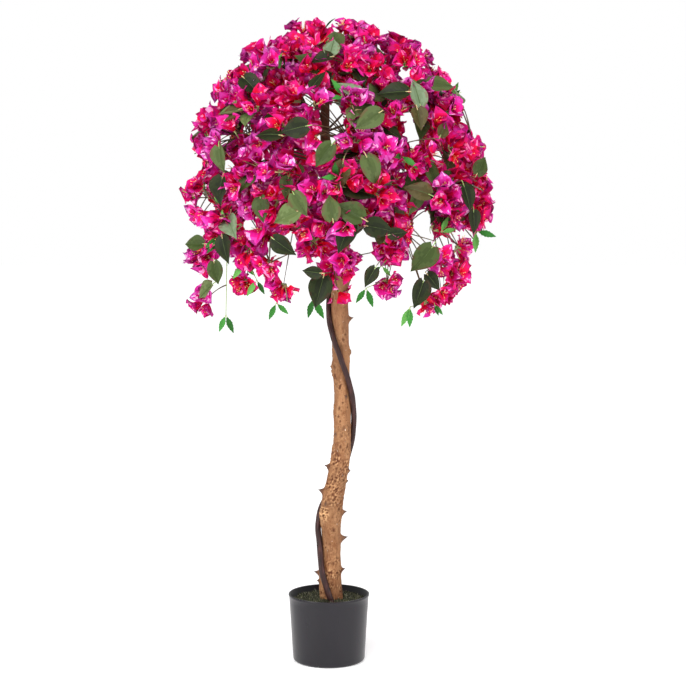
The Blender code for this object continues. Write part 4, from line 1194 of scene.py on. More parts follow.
def plan_foliage(masses, limbs):
    """Grow every mass: twigs to the crown's skin, with heads and leaves."""
    chance = random.Random(SEED)
    for bearing, reach, low in SPRAYS:
        tip = on_bearing(bearing, reach, low + SPRAY_LEAF)
        mass = nearest_mass(masses, tip)
        for _ in range(SPRAY_TRIES):
            if grow_twig(mass, tip, limbs, SPRAY_ARCH):
                break
            tip = tip.lerp(Vector((*mass.heart.xy, tip.z)), SPRAY_DRAW_IN)
        else:
            continue
        twig = len(mass.twigs) - 1
        out = crown_outward(tip)
        for half in (-1, 1):
            side = out.cross(UP).normalized() * half
            along = (side * 0.5 - UP + out * 0.2).normalized()
            mass.add_leaf(limbs, twig, tip, along, out, LEAF_LENGTH[0], LEAFLET_WIDTH)
        for share in SIDE_HEAD_SHARES:
            if grow_side_head(mass, twig, share, chance, limbs):
                break
    tips = crown_tips(chance)
    for tip in tips[::2] + tips[1::2]:
        grow_head(nearest_mass(masses, tip), tip, chance, limbs)
    for mass in masses:
        for twig in range(len(mass.twigs)):
            for k, share in enumerate(LEAF_SHARES):
                width = LEAFLET_WIDTH if mass.weeps and k else LEAF_WIDTH
                share += chance.uniform(-LEAF_SHIFT, LEAF_SHIFT)
                grow_leaf(mass, twig, share, 1 if k % 2 else -1, chance, limbs, width)


# ---------------------------------------------------------------- pot and moss
def arc(middle, reach, first, last, skip=0):
    """A profile's points round a middle, from one angle in degrees to another."""
    angles = np.radians(np.linspace(first, last, CORNER_STEPS + 1))[skip:]
    return [(middle[0] + reach[0] * math.cos(a), middle[1] + reach[1] * math.sin(a)) for a in angles]


def smooth_pot(looks):
    """The pot as a smooth turned shell with a rolled lip and a soft foot."""
    lip = POT_RIM_RADIUS + LIP_PROUD
    inner = pot_inside(POT_HEIGHT)
    under_lip = POT_HEIGHT - LIP_HEIGHT
    soft = POT_WALL / 2
    corner = (POT_CORNER, POT_CORNER)
    profile = [(0.0, POT_WALL), (pot_inside(POT_CORNER) - POT_CORNER, POT_WALL)]
    profile += arc((pot_inside(2 * POT_CORNER) - POT_CORNER, POT_WALL + POT_CORNER), corner, -90, 0, 1)
    profile.append((inner, POT_HEIGHT - soft))
    profile += arc(((inner + lip) / 2, POT_HEIGHT - soft), ((lip - inner) / 2, soft), 180, 0)
    profile += [(lip, under_lip + soft), (lip - soft / 2, under_lip), (POT_RIM_RADIUS, under_lip - soft)]
    for step in range(1, POT_WALL_ROWS):
        share = step / POT_WALL_ROWS
        radius = lerp((POT_RIM_RADIUS, POT_FOOT_RADIUS), share)
        profile.append((radius, lerp((under_lip - soft, POT_CORNER), share)))
    profile += arc((POT_FOOT_RADIUS - POT_CORNER, POT_CORNER), corner, 0, -90)
    profile = np.array([*profile, (0.0, 0.0)])
    angle = turns(POT_ROUND)
    radius = np.maximum(profile[:, :1], TINY)
    height = np.repeat(profile[:, 1:], POT_ROUND, 1)
    points = np.stack([radius * np.cos(angle), radius * np.sin(angle), height], -1)
    # The rows inside take the near-black finish: painted shade.
    finish = np.repeat(np.arange(len(profile) - 1) < POT_PAINTED_SHADE_ROWS, POT_ROUND).astype(int)
    skin = Skin()
    skin.add(points, grid_faces(len(profile), POT_ROUND, True)[:, ::-1], finish)
    skin.make("pot_shell", looks, "pot", ["pot"])


def moss_height(x, y):
    """The moss bed's lumpy top, from the pot's middle out."""
    reach = pot_inside(FILL_TOP) - GAP
    spread = min(math.hypot(x, y) / reach, 1.0)
    clumps = sum(noise.noise(Vector((x, y, z)) * waves) * deep for z, waves, deep in MOSS_CLUMPS)
    return MOSS_TOP + clumps - MOSS_SAG * spread**4 - MOSS_BRINK * spread**12


def moss(bed_look, blade_looks):
    """A lumpy bed of moss with short curled fibres all over it."""
    reach = pot_inside(FILL_TOP + MOSS_RISE) - GAP
    rings, around = MOSS_GRID
    points = []
    for ring in range(rings + 1):
        radius = reach * (ring / rings) ** MOSS_CROWDING
        for turn in turns(around):
            x, y = radius * math.cos(turn), radius * math.sin(turn)
            points.append((x, y, moss_height(x, y) if ring < rings else FILL_TOP + GAP))
    bed = Skin()
    bed.add(points, grid_faces(rings + 1, around, True))
    bed.make("moss_bed", [bed_look], "moss", ["moss"])
    chance = random.Random(LOOKS_SEED)
    fibres = Skin()
    for _ in range(MOSS_FIBRES):
        radius = reach * math.sqrt(chance.random()) * MOSS_FIBRE_SPREAD
        turn = chance.uniform(0, 2 * math.pi)
        x, y = radius * math.cos(turn), radius * math.sin(turn)
        lean, way = chance.uniform(*MOSS_FIBRE_LEAN), chance.uniform(0, 2 * math.pi)
        length = chance.uniform(*MOSS_FIBRE)
        ahead = np.array((math.cos(way) * math.sin(lean), math.sin(way) * math.sin(lean), math.cos(lean)))
        across = np.array((-math.sin(way), math.cos(way), 0.0)) * chance.uniform(*MOSS_FIBRE_HALF)
        root = np.array((x, y, moss_height(x, y) - MOSS_FIBRE_SINK))
        tip = root + ahead * length
        middle = root + ahead * length * 0.55 + np.array((0, 0, length * 0.12))
        tip[2] -= length * 0.15 * lean
        points = [spot + across * half for spot, wide in ((root, 1.0), (middle, 0.8), (tip, 0.15))
                  for half in (-wide, wide)]
        if math.hypot(tip[0], tip[1]) < pot_inside(MOSS_TOP) - GAP:
            fibres.add(points, grid_faces(3, 2), chance.randrange(len(blade_looks)))
    fibres.make("moss_fibres", blade_looks, "moss")


# ---------------------------------------------------------------- trunk and vine
def above(value, least, gain, most=1.0):
    """How far a value stands over the least that counts, from 0 to the most."""
    return np.clip((value - least) * gain, 0, most)


class Bark:
    """The trunk's skin in the making: how far out each point lies, and how it is marked."""

    def __init__(self):
        seen = np.arange(TRUNK[0][0] + GAP, BARK_HIDDEN_FROM, BARK_ROW)
        hidden = np.arange(BARK_HIDDEN_FROM, TRUNK[-1][0], BARK_ROW_HIDDEN)
        self.rows = np.concatenate([seen, hidden, [TRUNK[-1][0]]])
        self.angle = turns(BARK_COLUMNS)
        self.round_way = np.stack([np.cos(self.angle), np.sin(self.angle)], -1)
        self.radius = np.array([trunk_radius(z) for z in self.rows])[:, None]
        self.height = self.rows[:, None]
        flute = sum(deep * np.sin(n * self.angle + twist * self.height) for n, twist, deep in TRUNK_FLUTES)
        self.out = self.radius * (1 + TRUNK_RELIEF * flute)
        for deep, waves, squeeze in (BARK_LUMP, BARK_GRAIN):
            self.out += deep * self.noise(waves, squeeze)
        self.rough = self.noise(CRUMBLE_WAVES, 0.8)
        self.rise, self.spike = np.zeros(self.out.shape), np.zeros(self.out.shape)

    def noise(self, waves, squeeze):
        """A noise value for each point, squeezed along the trunk."""
        return np.array([
            [noise.noise(Vector((x * r, y * r, z * squeeze)) * waves) for x, y in self.round_way]
            for z, r in zip(self.rows, self.radius[:, 0])
        ])

    def away(self, height, bearing):
        """Sideways and upward distance of every point from a place on the bark."""
        turn = (self.angle - bearing + math.pi) % (2 * math.pi) - math.pi
        return turn * self.radius, self.height - height

    def crumble(self):
        """Eat a ragged lace into the bark in bands, with painted shade in what is eaten and pale crumbs
        left between that are partly painted highlights.
        """
        patches = self.noise(CRUMBLE_PATCHES, 1.0)
        lace = sum(thick * np.exp(-(((self.height - at) / wide) ** 2)) for at, wide, thick in CRUMBLE_BANDS)
        stray = 0.25 * above(patches, 0.25, 1)
        lace = np.clip(lace * (0.75 + 2.2 * patches) + stray, 0, 1)
        eaten = lace * above(self.rough, 0.06, 6)
        self.out -= eaten * CRUMBLE_DEPTH
        self.pit = 0.9 * eaten
        self.worn_and_highlight = 0.6 * lace * above(-self.rough, 0.22, 5)

    def press_pits(self, chance):
        """Press pits in, each with painted shade inside, a raised rim and a pale halo that is a painted
        highlight.
        """
        pits = []
        for _ in range(PIT_COUNT):
            crowded = chance.random() < PITS_CROWDED
            height = chance.gauss(*PIT_BAND) if crowded else chance.uniform(TRUNK[0][0], PITS_END)
            radius = lerp(PIT_RADIUS, chance.random() ** 2)
            pits.append((height, chance.uniform(-math.pi, math.pi), radius, radius * PIT_DEPTH))
        for height, bearing, radius, proud in KNOTS:
            pits.append((height, math.radians(bearing), radius * KNOT_EYE[0], proud * KNOT_EYE[1]))
        for height, bearing, size, deep in pits:
            across, up = self.away(height, bearing)
            far = (across**2 + (up * chance.uniform(*PIT_STRETCH)) ** 2) / size**2
            far = far * np.exp(PIT_RAGGED * self.rough)
            rim, halo = (
                most * np.exp(-((np.sqrt(far) - at) ** 2) * sharp)
                for at, sharp, most in (PIT_RIM, PIT_HALO)
            )
            self.out -= deep * np.exp(-far) - deep * rim
            self.pit = np.maximum(self.pit, 0.95 * np.exp(-far * 0.8))
            self.worn_and_highlight = np.maximum(self.worn_and_highlight, halo)

    def raise_knots(self):
        """Raise round knots, and the rubbed one, whose bark is off and painted pale, partly as a highlight.
        """
        for height, bearing, size, proud in KNOTS:
            across, up = self.away(height, math.radians(bearing))
            far = (across**2 + (up * 0.8) ** 2) / size**2
            self.out += proud * np.exp(-far)
            self.pit = np.maximum(self.pit, 0.45 * np.exp(-far * 1.6))
        height, bearing, size, proud = WORN_KNOT
        across, up = self.away(height, math.radians(bearing))
        bare = np.exp(-((across**2 + (up * 0.7) ** 2) / size**2) ** 2)
        self.out += proud * bare * (1 + 2.5 * self.rough)
        self.worn_and_highlight = np.maximum(self.worn_and_highlight, bare * np.clip(0.45 + 3.0 * self.rough, 0, 0.9))
        self.pit = np.where(bare > 0.3, above(-self.rough, 0.12, 6, 0.9) * bare, self.pit)

    def raise_thorns(self):
        """Draw rose-like thorns out of the bark, broad at the foot and lifted at the point."""
        step = 2 * math.pi / BARK_COLUMNS
        for height, bearing, length in THORNS:
            near_row = self.rows[np.argmin(np.abs(self.rows - height))]
            across, up = self.away(near_row, round(math.radians(bearing) / step) * step)
            wide, tall = (foot + more * length for foot, more in (SPIKE_WIDE, SPIKE_TALL))
            near = np.clip(1 - np.hypot(across / wide, up / tall), 0, 1)
            self.out += length * near**SPIKE_POWER
            self.rise += length * THORN_LIFT * near**SPIKE_POWER
            self.pit = np.maximum(self.pit, 0.55 * near)
            self.spike = np.maximum(self.spike, 0.9 * near**2)
            self.worn_and_highlight *= 1 - near

    def make(self, look):
        """Make the trunk's piece, closed at its tip, with its marks as attributes."""
        middle = np.array([tuple(trunk_centre(z)) for z in self.rows])
        points = np.empty((*self.out.shape, 3))
        points[..., :2] = middle[:, None, :2] + self.out[..., None] * self.round_way
        points[..., 2] = self.height + self.rise
        cap = points[-1:].copy()
        cap[..., :2] = middle[-1, :2] + (cap[..., :2] - middle[-1, :2]) * 0.02
        skin = Skin()
        skin.add(np.concatenate([points, cap]), grid_faces(len(self.rows) + 1, BARK_COLUMNS, True))
        piece = skin.make("trunk_bark", [look], "bark", ["trunk"])
        # The pit mark holds brown with painted shade, the pale mark wear with painted highlights, the spike
        # mark the thorns' own grey.
        for name, values in (("pit", self.pit), ("worn_and_highlight", self.worn_and_highlight), ("spike", self.spike)):
            mark = piece.data.attributes.new(name, "FLOAT", "POINT")
            values = np.concatenate([values, values[-1:]])
            mark.data.foreach_set("value", values.ravel().astype(np.float32))


def trunk_bark(look):
    """The trunk as one skin: flutes, grain, pits, knots and thorns."""
    bark = Bark()
    bark.crumble()
    bark.press_pits(random.Random(LOOKS_SEED))
    bark.raise_knots()
    bark.raise_thorns()
    bark.make(look)


def vine_skin(look):
    """The vine as one stem, faintly ribbed, that hugs the trunk."""
    heights = np.arange(VINE[0][0] + GAP, VINE[-1][0], VINE_ROW)
    path = [vine_point(z) for z in heights]
    for point in path:
        inward = trunk_centre(point.z) - point
        point.xy += inward.xy.normalized() * VINE_HUG
        if point.z < VINE[0][0] + VINE_STEP:
            point.xy = vine_point(VINE[0][0] + VINE_STEP).xy
    ribs, deep, twist = VINE_RIDGES
    points, faces = tube_points(path, [vine_radius(z) for z in heights], VINE_COLUMNS)
    rings = points.reshape(-1, VINE_COLUMNS, 3)
    middle = rings.mean(1, keepdims=True)
    rib = np.sin(ribs * turns(VINE_COLUMNS) + twist * middle[..., 2]) * deep
    rings += unit(rings - middle + 1e-9) * rib[..., None]
    skin = Skin()
    skin.add(rings, faces)
    skin.make("vine_stem", [look], "vine", ["vine_lower", "vine_middle", "vine_upper"])


# ---------------------------------------------------------------- crown: what shows at the front
def in_front(points):
    """Where points show in the upright plane through the tree's axis: across, and height."""
    points = np.asarray(points).reshape(-1, 3)
    share = CAMERA_SPOT[1] / (CAMERA_SPOT[1] - points[:, 1])
    across = CAMERA_SPOT[0] + (points[:, 0] - CAMERA_SPOT[0]) * share
    return across, CAMERA_SPOT[2] + (points[:, 2] - CAMERA_SPOT[2]) * share


def left_open(points, margin=0.0):
    """Whether a piece would stand in one of the crown's openings, or beyond its skyline."""
    across, height = in_front(points)
    hole = np.array(OPENINGS)
    inside = np.hypot(across[:, None] - hole[:, 0], height[:, None] - hole[:, 1]) < hole[:, 2] + margin
    heights, left, right = np.array(SKYLINE).T
    low = height < HEM_TOP
    to_left = np.interp(height, heights, left) - across
    to_right = across - np.interp(height, heights, right)
    beyond = np.where(low, 0.0, np.maximum(to_left, to_right))
    beyond = np.maximum(beyond, height - heights[-1])
    if inside.any() or beyond.max() > SKYLINE_SLACK - min(margin, 0.0):
        return True
    if not low.any():
        return False
    middle_x, middle_z, radius = np.array(HEM)[:, :3].T
    off = np.hypot(across[low, None] - middle_x, height[low, None] - middle_z) - radius
    return off.min(1).max() > HEM_EDGE - margin


def placed(across, height, depth):
    """The point part of the way to the crown's skin that is seen at a place in the front plane."""
    forward = 0.0
    for _ in range(PLACING_ROUNDS):
        share = (forward - CAMERA_SPOT[1]) / -CAMERA_SPOT[1]
        x = CAMERA_SPOT[0] + (across - CAMERA_SPOT[0]) * share
        z = CAMERA_SPOT[2] + (height - CAMERA_SPOT[2]) * share
        reach = crown_radius(min(max(z, CROWN_HEM), TREE_HEIGHT - 0.002))
        forward = -math.sqrt(max(reach**2 - (x - CROWN_AXIS) ** 2, 0.0)) * depth
    return Vector((x, forward, z))


def pruned(*points):
    """Whether what was planned at points is left out: for the sky, or for the hem's own clusters."""
    return any(point.z < HEM_TOP or left_open([point], PRUNE_MARGIN) for point in points)


# ---------------------------------------------------------------- crown: blossom and leaves
def axes(facing):
    """Two directions across a facing."""
    side = facing.orthogonal().normalized()
    return side, facing.cross(side)


def beside(facing, turn):
    """The direction across a facing at a turn round it."""
    first, second = axes(facing)
    return first * math.cos(turn) + second * math.sin(turn)


def blade_grid(rows, across):
    """Shares along and across a blade, and its half widths' places."""
    return np.arange(rows + 1)[:, None] / rows, np.asarray(across, float)[None, :]


def cloth_spots(across, along):
    """Where a blade's points lie on flat cloth."""
    return np.stack(np.broadcast_arrays(across, along), -1).reshape(-1, 2)


def bract_points(foot, facing, turn, flare, length, chance):
    """A bract's points, and their spots on flat cloth: a folded, ruffled, twisted blade."""
    u, v = blade_grid(BRACT_ROWS, np.linspace(-1, 1, BRACT_COLUMNS + 1))
    half = outline(BRACT_ROWS, BRACT_OUTLINE)[:, None] * length * 0.5 * chance.uniform(*BRACT_WIDTH)
    lean = lerp((BRACT_OPENING, flare), u ** chance.uniform(*BRACT_BOW))
    step = length / BRACT_ROWS
    middle_lean = (lean[1:, 0] + lean[:-1, 0]) / 2
    reach = np.concatenate([[0.0], np.cumsum(np.sin(middle_lean) * step)])[:, None]
    climb = np.concatenate([[0.0], np.cumsum(np.cos(middle_lean) * step)])[:, None]
    edge = np.abs(v)
    ruffle = np.sin(
        u * chance.uniform(*BRACT_WAVES) + np.sign(v) * chance.uniform(0, 3) + chance.uniform(0, 6)
    )
    ruffle = ruffle * edge**1.4 * u**0.4 * chance.uniform(*BRACT_RUFFLE)
    pleat = np.sin(v * chance.uniform(*BRACT_PLEATS) + chance.uniform(0, 6))
    pleat = pleat * chance.uniform(*PLEAT_DEPTH) * u
    lift = half * (edge * chance.uniform(*BRACT_FOLD) + ruffle + pleat + BRACT_CUP * v**2 * (1 - u))
    across = v * half
    twist = chance.uniform(-BRACT_TWIST, BRACT_TWIST) * u
    cosine, sine = np.cos(twist), np.sin(twist)
    across, lift = across * cosine - lift * sine, across * sine + lift * cosine
    across = across + length * chance.uniform(-BRACT_SWAY, BRACT_SWAY) * u**2
    e1, e2 = (np.array(axis) for axis in axes(facing))
    radial = e1 * math.cos(turn) + e2 * math.sin(turn)
    side = e2 * math.cos(turn) - e1 * math.sin(turn)
    out = FLORET_EYE + reach - np.cos(lean) * lift
    up = climb + np.sin(lean) * lift
    points = np.array(foot) + across[..., None] * side + out[..., None] * radial
    points = points + up[..., None] * np.array(facing)
    return points, cloth_spots(v * half + chance.random(), u * length + chance.random())


def bract_finish(family, chance):
    """A finish for each face of a bract: bands from throat to tip, with painted highlights on crests and
    painted shade in creases.
    """
    dealt = np.random.default_rng(chance.randrange(1 << 30))
    middle_u = (np.arange(BRACT_ROWS)[:, None] + 0.5) / BRACT_ROWS
    middle_v = np.abs(np.linspace(-1, 1, 2 * BRACT_COLUMNS + 1)[1::2])[None, :]
    jitter = dealt.normal(0, ZONE_JITTER, BRACT_COLUMNS)
    jitter = jitter + dealt.normal(0, FACE_JITTER, (BRACT_ROWS, BRACT_COLUMNS))
    zone = np.digitize(middle_u + EDGE_LEAD * (middle_v - 0.5) + jitter, BRACT_BANDS)
    # Strips along the bract: the pale ones are painted highlights, the dark ones painted shade.
    for tone, share, where, reach in BRACT_HIGHLIGHT_AND_SHADE_STREAKS:
        streaked = dealt.random(BRACT_COLUMNS) < share
        off = np.abs(middle_u - dealt.uniform(*where, BRACT_COLUMNS))
        zone = np.where(streaked & (off < dealt.uniform(*reach, BRACT_COLUMNS)), tone, zone)
    return family * len(BRACT_FAMILIES[0]) + zone.ravel()


def near_family(family, steps, chance):
    """A bract family a step away at most."""
    return min(max(family + chance.choice(steps), 0), len(BRACT_FAMILIES) - 1)


def add_stamens(skin, foot, facing, chance):
    """A spray of stamens: pale filaments with pinkish tips."""
    count = chance.choice(STAMENS)
    for k in range(count):
        turn = 2 * math.pi * (k + chance.uniform(-STAMEN_JITTER, STAMEN_JITTER)) / count
        lean = chance.uniform(*STAMEN_LEAN)
        way = (facing + beside(facing, turn) * lean).normalized()
        start = foot + facing * STAMEN_FOOT
        length = chance.uniform(*STAMEN_LENGTH)
        end = start + way * length
        middle = bezier(start, start + facing * length * 0.6, end, 0.6)
        path = [start, middle, end, end + way * ANTHER_RADIUS, end + way * ANTHER_RADIUS * 2]
        radii = (STAMEN_RADIUS, STAMEN_RADIUS, STAMEN_RADIUS * 0.7, ANTHER_RADIUS, ANTHER_RADIUS * 0.4)
        add_tube(skin, path, radii, STAMEN_SIDES, np.repeat((0, 0, 0, 1, 1, 1), STAMEN_SIDES))


def add_floret(ring, root, facing, family, chance, size=1.0):
    """A floret on its stalk: receptacle, three bracts and stamens; whether it has room."""
    foot = root + facing * chance.uniform(*FLORET_STAND) * size
    flare = chance.uniform(*BRACT_FLARE)
    start = chance.uniform(0, 2 * math.pi)
    bracts = []
    for k in range(BRACTS):
        turn = start + 2 * math.pi * (k + chance.uniform(-BRACT_JITTER, BRACT_JITTER)) / BRACTS
        length = chance.uniform(*BRACT_LENGTH) * size
        own = near_family(family, (0, 0, 0, 1, -1), chance)
        own_flare = flare * chance.uniform(*FLARE_SPREAD)
        points, spots = bract_points(foot, facing, turn, own_flare, length, chance)
        if not left_open(points):
            bracts.append((points, bract_finish(own, chance), spots))
    if len(bracts) < FEWEST_BRACTS:
        return False
    for points, finish, spots in bracts:
        ring["bract"].add(points, grid_faces(BRACT_ROWS + 1, BRACT_COLUMNS + 1), finish, spots)
    stalk = [root, root.lerp(foot, 0.7), foot + facing * 0.003]
    add_tube(ring["pedicel"], stalk, PEDICEL_RADII, STALK_SIDES, chance.randrange(PEDICEL_TONES))
    add_stamens(ring["stamen"], foot, facing, chance)
    return True


def add_tendril(skin, root, facing, chance):
    """A thin bare stalk that curves away from a cluster."""
    turn, length = chance.uniform(0, 2 * math.pi), chance.uniform(*TENDRIL_LENGTH)
    first, second = axes(facing)
    way = facing * chance.uniform(0.2, 0.9) + first * math.cos(turn) + second * math.sin(turn)
    way.normalize()
    end = root + way * length * 0.85 + facing * length * chance.uniform(0.1, 0.5)
    path = curve(root, root + way * length * 0.6, end, 4)
    tone = chance.randrange(PEDICEL_TONES)
    if not left_open(path):
        add_tube(skin, path, TENDRIL_RADII, 4, tone)


def add_cluster(ring, head, facing, chance, count=None, size=1.0):
    """A blossom cluster: a few florets that lean apart, and at times a leaf under them."""
    root = head - facing * CLUSTER_SINK * size
    count = count or chance.choice(FLORETS)
    start = chance.uniform(0, 2 * math.pi)
    family = chance.choice(FAMILY_DEAL)
    for k in range(count):
        turn = start + 2 * math.pi * (k + chance.uniform(-FLORET_JITTER, FLORET_JITTER)) / count
        own = near_family(family, (-1, 0, 0, 1), chance)
        for attempt in range(FLORET_TRIES):
            lean = chance.uniform(*FLORET_TILT) * (1 - attempt / FLORET_TRIES)
            way = (facing + beside(facing, turn) * lean).normalized()
            if add_floret(ring, root, way, own, chance, size):
                break
    if chance.random() < TENDRIL_SHARE:
        add_tendril(ring["pedicel"], root, facing, chance)
    if chance.random() < COLLAR_SHARE:
        out = crown_outward(root)
        across = out.cross(UP).normalized() * chance.uniform(-1.2, 1.2)
        along = out * chance.uniform(0.25, 0.9) + across - UP * chance.uniform(0.1, 1.0)
        along.normalize()
        up = (out + UP * 0.7 - along * 0.2).normalized()
        length = chance.uniform(*COLLAR_LENGTH)
        width = chance.uniform(*SIDE_LEAF_WIDTH)
        add_leaf_blade(ring, root + along * 0.004, along, up, length, width, chance)


def blade_axes(along, up):
    """A leaf's own directions: along it, across it and off its face."""
    side = up.cross(along).normalized()
    return np.array(along), np.array(side), np.array(along.cross(side))


def add_leaf_blade(ring, root, along, up, length, width, chance, tone=None, slack=0.0):
    """A heart-shaped leaf with a drip tip, on a short stalk."""
    along, side, face = blade_axes(along, up)
    stalk = length * chance.uniform(*LEAF_STALK)
    start = np.array(root)
    foot = start + along * stalk + face * stalk * 0.15
    stalk_tone = chance.randrange(PEDICEL_TONES)
    u, v = blade_grid(BLADE_ROWS, np.linspace(-1, 1, BLADE_COLUMNS + 1))
    v = np.sign(v) * np.abs(v) ** 1.15
    half = outline(BLADE_ROWS, BLADE_OUTLINE)[:, None] * length * width * 0.5
    lobe = length * LEAF_LOBE * np.abs(v) ** 1.6 * np.clip(1 - u / 0.2, 0, 1)
    fold = np.abs(v) * chance.uniform(*LEAF_FOLD) - LEAF_CUP * v**2
    wave = np.sin(u * chance.uniform(*LEAF_WAVES) + np.sign(v) * chance.uniform(0, 3))
    wave = wave * np.abs(v) ** 2 * LEAF_WAVE_DEPTH
    droop = -length * chance.uniform(*LEAF_CURL) * u**2
    twist = chance.uniform(-LEAF_TWIST, LEAF_TWIST) * u * v * half
    lift = half * (fold + wave) + droop + twist
    points = foot + (u * length - lobe)[..., None] * along + (v * half)[..., None] * side
    points = points + lift[..., None] * face
    tone = chance.choice(LEAF_DEAL) if tone is None else tone
    # Faces away from the midrib take the lighter flank, a painted sheen; faces at the rim may take the
    # brownish edge.
    middle = np.broadcast_to(np.abs(v[:, :-1] + v[:, 1:]) / 2, (BLADE_ROWS, BLADE_COLUMNS))
    dealt = np.random.default_rng(chance.randrange(1 << 30)).normal(0, FLANK_JITTER, middle.shape)
    zone = np.where(middle + dealt > LEAF_PAINTED_SHEEN_FROM, 1, 0)
    zone = np.where((middle > LEAF_RIM[0]) & (dealt > LEAF_RIM[1]), 2, zone)
    if left_open(points, slack):
        return
    zones = len(LEAF_FAMILIES[0])
    faces = grid_faces(BLADE_ROWS + 1, BLADE_COLUMNS + 1)
    stalk_path = [start, (start + foot) / 2 + face * 0.001, foot + along * 0.003]
    add_tube(ring["pedicel"], stalk_path, LEAF_STALK_RADII, STALK_SIDES, stalk_tone)
    ring["leaf"].add(points, faces, tone * zones + zone.ravel(), cloth_spots(v * half, u * length))
    rib = [points[k, BLADE_COLUMNS // 2] + face * RIB_PROUD for k in RIB_ROWS]
    add_tube(ring["leaf"], rib, RIB_RADII, 3, len(LEAF_FAMILIES) * zones)


def add_leaflet(ring, root, along, up, length, width, chance, slack=0.0):
    """A narrow bright leaflet with a toothed edge."""
    along, side, face = blade_axes(along, up)
    u, v = blade_grid(LEAFLET_ROWS, np.linspace(-1, 1, LEAFLET_COLUMNS))
    tooth = np.where(np.arange(LEAFLET_ROWS + 1)[:, None] % 2 == 1, TOOTH, -TOOTH / 2)
    edge = 1 + tooth * (np.abs(v) > 0.9)
    half = outline(LEAFLET_ROWS, LEAFLET_OUTLINE)[:, None] * length * width * 0.5
    foot = np.array(root) + along * (length * LEAFLET_STALK)
    lift = half * (np.abs(v) * LEAFLET_FOLD) - length * chance.uniform(*LEAFLET_CURL) * u**2
    points = foot + (u * length)[..., None] * along + (v * half * edge)[..., None] * side
    points = points + lift[..., None] * face
    spots = cloth_spots(v * half, u * length)
    tone = chance.randrange(LEAFLET_TONES)
    if left_open(points, slack):
        return
    stalk = [np.array(root), foot + along * 0.002]
    add_tube(ring["pedicel"], stalk, LEAFLET_STALK_RADII, STALK_SIDES)
    ring["leaflet"].add(points, grid_faces(LEAFLET_ROWS + 1, LEAFLET_COLUMNS), tone, spots)


def hang_pair(ring, root, along, up, length, chance, slack=0.0, spread=PAIR_SPREAD):
    """Two leaflets that part from one place."""
    for half in (-1, 1):
        lean = up.cross(along).normalized() * half * spread * chance.uniform(*FLARE_SPREAD)
        way = (along + lean).normalized()
        size = length * chance.uniform(*PAIR_SIZES)
        add_leaflet(ring, root, way, up, size, NARROW_LEAFLET, chance, slack)


# ---------------------------------------------------------------- crown: growth
def smooth_path(path, steps):
    """Points on the bend that a planned twig's three points lie on."""
    start, middle, end = path
    return curve(start, middle * 2 - (start + end) / 2, end, steps)


def grown_twig(ring, path, radii):
    """A twig with its slight swellings."""
    steps = len(path) - 1
    deep, fast, apart = TWIG_SWELL
    swell = [1 + deep * math.sin(fast * k + path[0].x * apart) for k in range(steps + 1)]
    radii = [lerp(radii, k / steps) * swell[k] for k in range(steps + 1)]
    add_tube(ring["twig"], path, radii, TWIG_SIDES)


def prune(mass):
    """Sort a mass's planned twigs: the kept ones, and the places of the pruned ones."""
    mass.kept = [path for path in mass.twigs if not pruned(path[0], path[-1])]
    mass.bare = [
        spot for path in mass.twigs if path not in mass.kept for spot in smooth_path(path, CURVE_STEPS)[1:]
    ]
    mass.starts = [path[0] for path in mass.kept]


def held(mass, root):
    """Whether what the plan stood at a place still has its twig."""
    return min([(root - spot).length for spot in mass.bare] + [1.0]) > PRUNE_REACH


def held_heads(masses):
    """Where the planned blossom heads stand whose twigs are kept."""
    return [root for mass in masses for root, _, _ in mass.heads if held(mass, root)]


def grow_mass(mass, ring, chance):
    """What the plan gave a mass: its twigs, blossom heads and leaves."""
    for path in mass.kept:
        grown_twig(ring, smooth_path(path, CURVE_STEPS), PLANNED_TWIG)
    for root, facing, neck in mass.heads:
        if not held(mass, root):
            continue
        if neck:
            add_tube(ring["pedicel"], [root, root + facing * neck], SIDE_NECK, TWIG_SIDES)
        add_cluster(ring, root + facing * neck, facing, chance)
    for root, along, up, length, width in mass.leaves:
        if chance.random() > KEPT_LEAVES or not held(mass, root):
            continue
        if width == LEAFLET_WIDTH:
            hang_pair(ring, root, along, up, length * LEAFLET_SCALE, chance)
        else:
            add_leaf_blade(ring, root, along, up, length * BLADE_SCALE, width, chance)


def upright_mass(masses, spot):
    """The mass that a place above the hem belongs to."""
    return nearest_mass([mass for mass in masses if not mass.weeps], spot)


def nearest_start(mass, spot):
    """Where a finer twig leaves its mass for a spot: the easiest of many places."""
    past, last, count = FINER_STARTS
    places = [mass.limb(lerp((mass.entry + past, last), k / (count - 1))) for k in range(count)]
    for path in mass.kept:
        places += smooth_path(path, FINER_STEPS)[1:-2]
    places = [place for place in places if place.z > HEM_TOP]
    out = crown_outward(spot)

    def cost(place):
        way = spot - place
        if way.length < FINER_SHORTEST:
            return TOO_DEAR
        return way.length * (FINER_COST - way.normalized().dot(out))

    start = min(places, key=cost)
    mass.starts.append(start)
    return start


def limb_to(masses, rings, spot, steps):
    """A finer twig from the nearest limb to a spot: its ring of the crown, and its path."""
    mass = upright_mass(masses, spot)
    start = nearest_start(mass, spot)
    bend = start.lerp(spot, 0.5) + UP * (FINER_ARCH * (spot - start).length)
    path = curve(start, bend, spot, steps)
    grown_twig(rings[mass.ring], path, FINER_TWIG)
    return rings[mass.ring], path


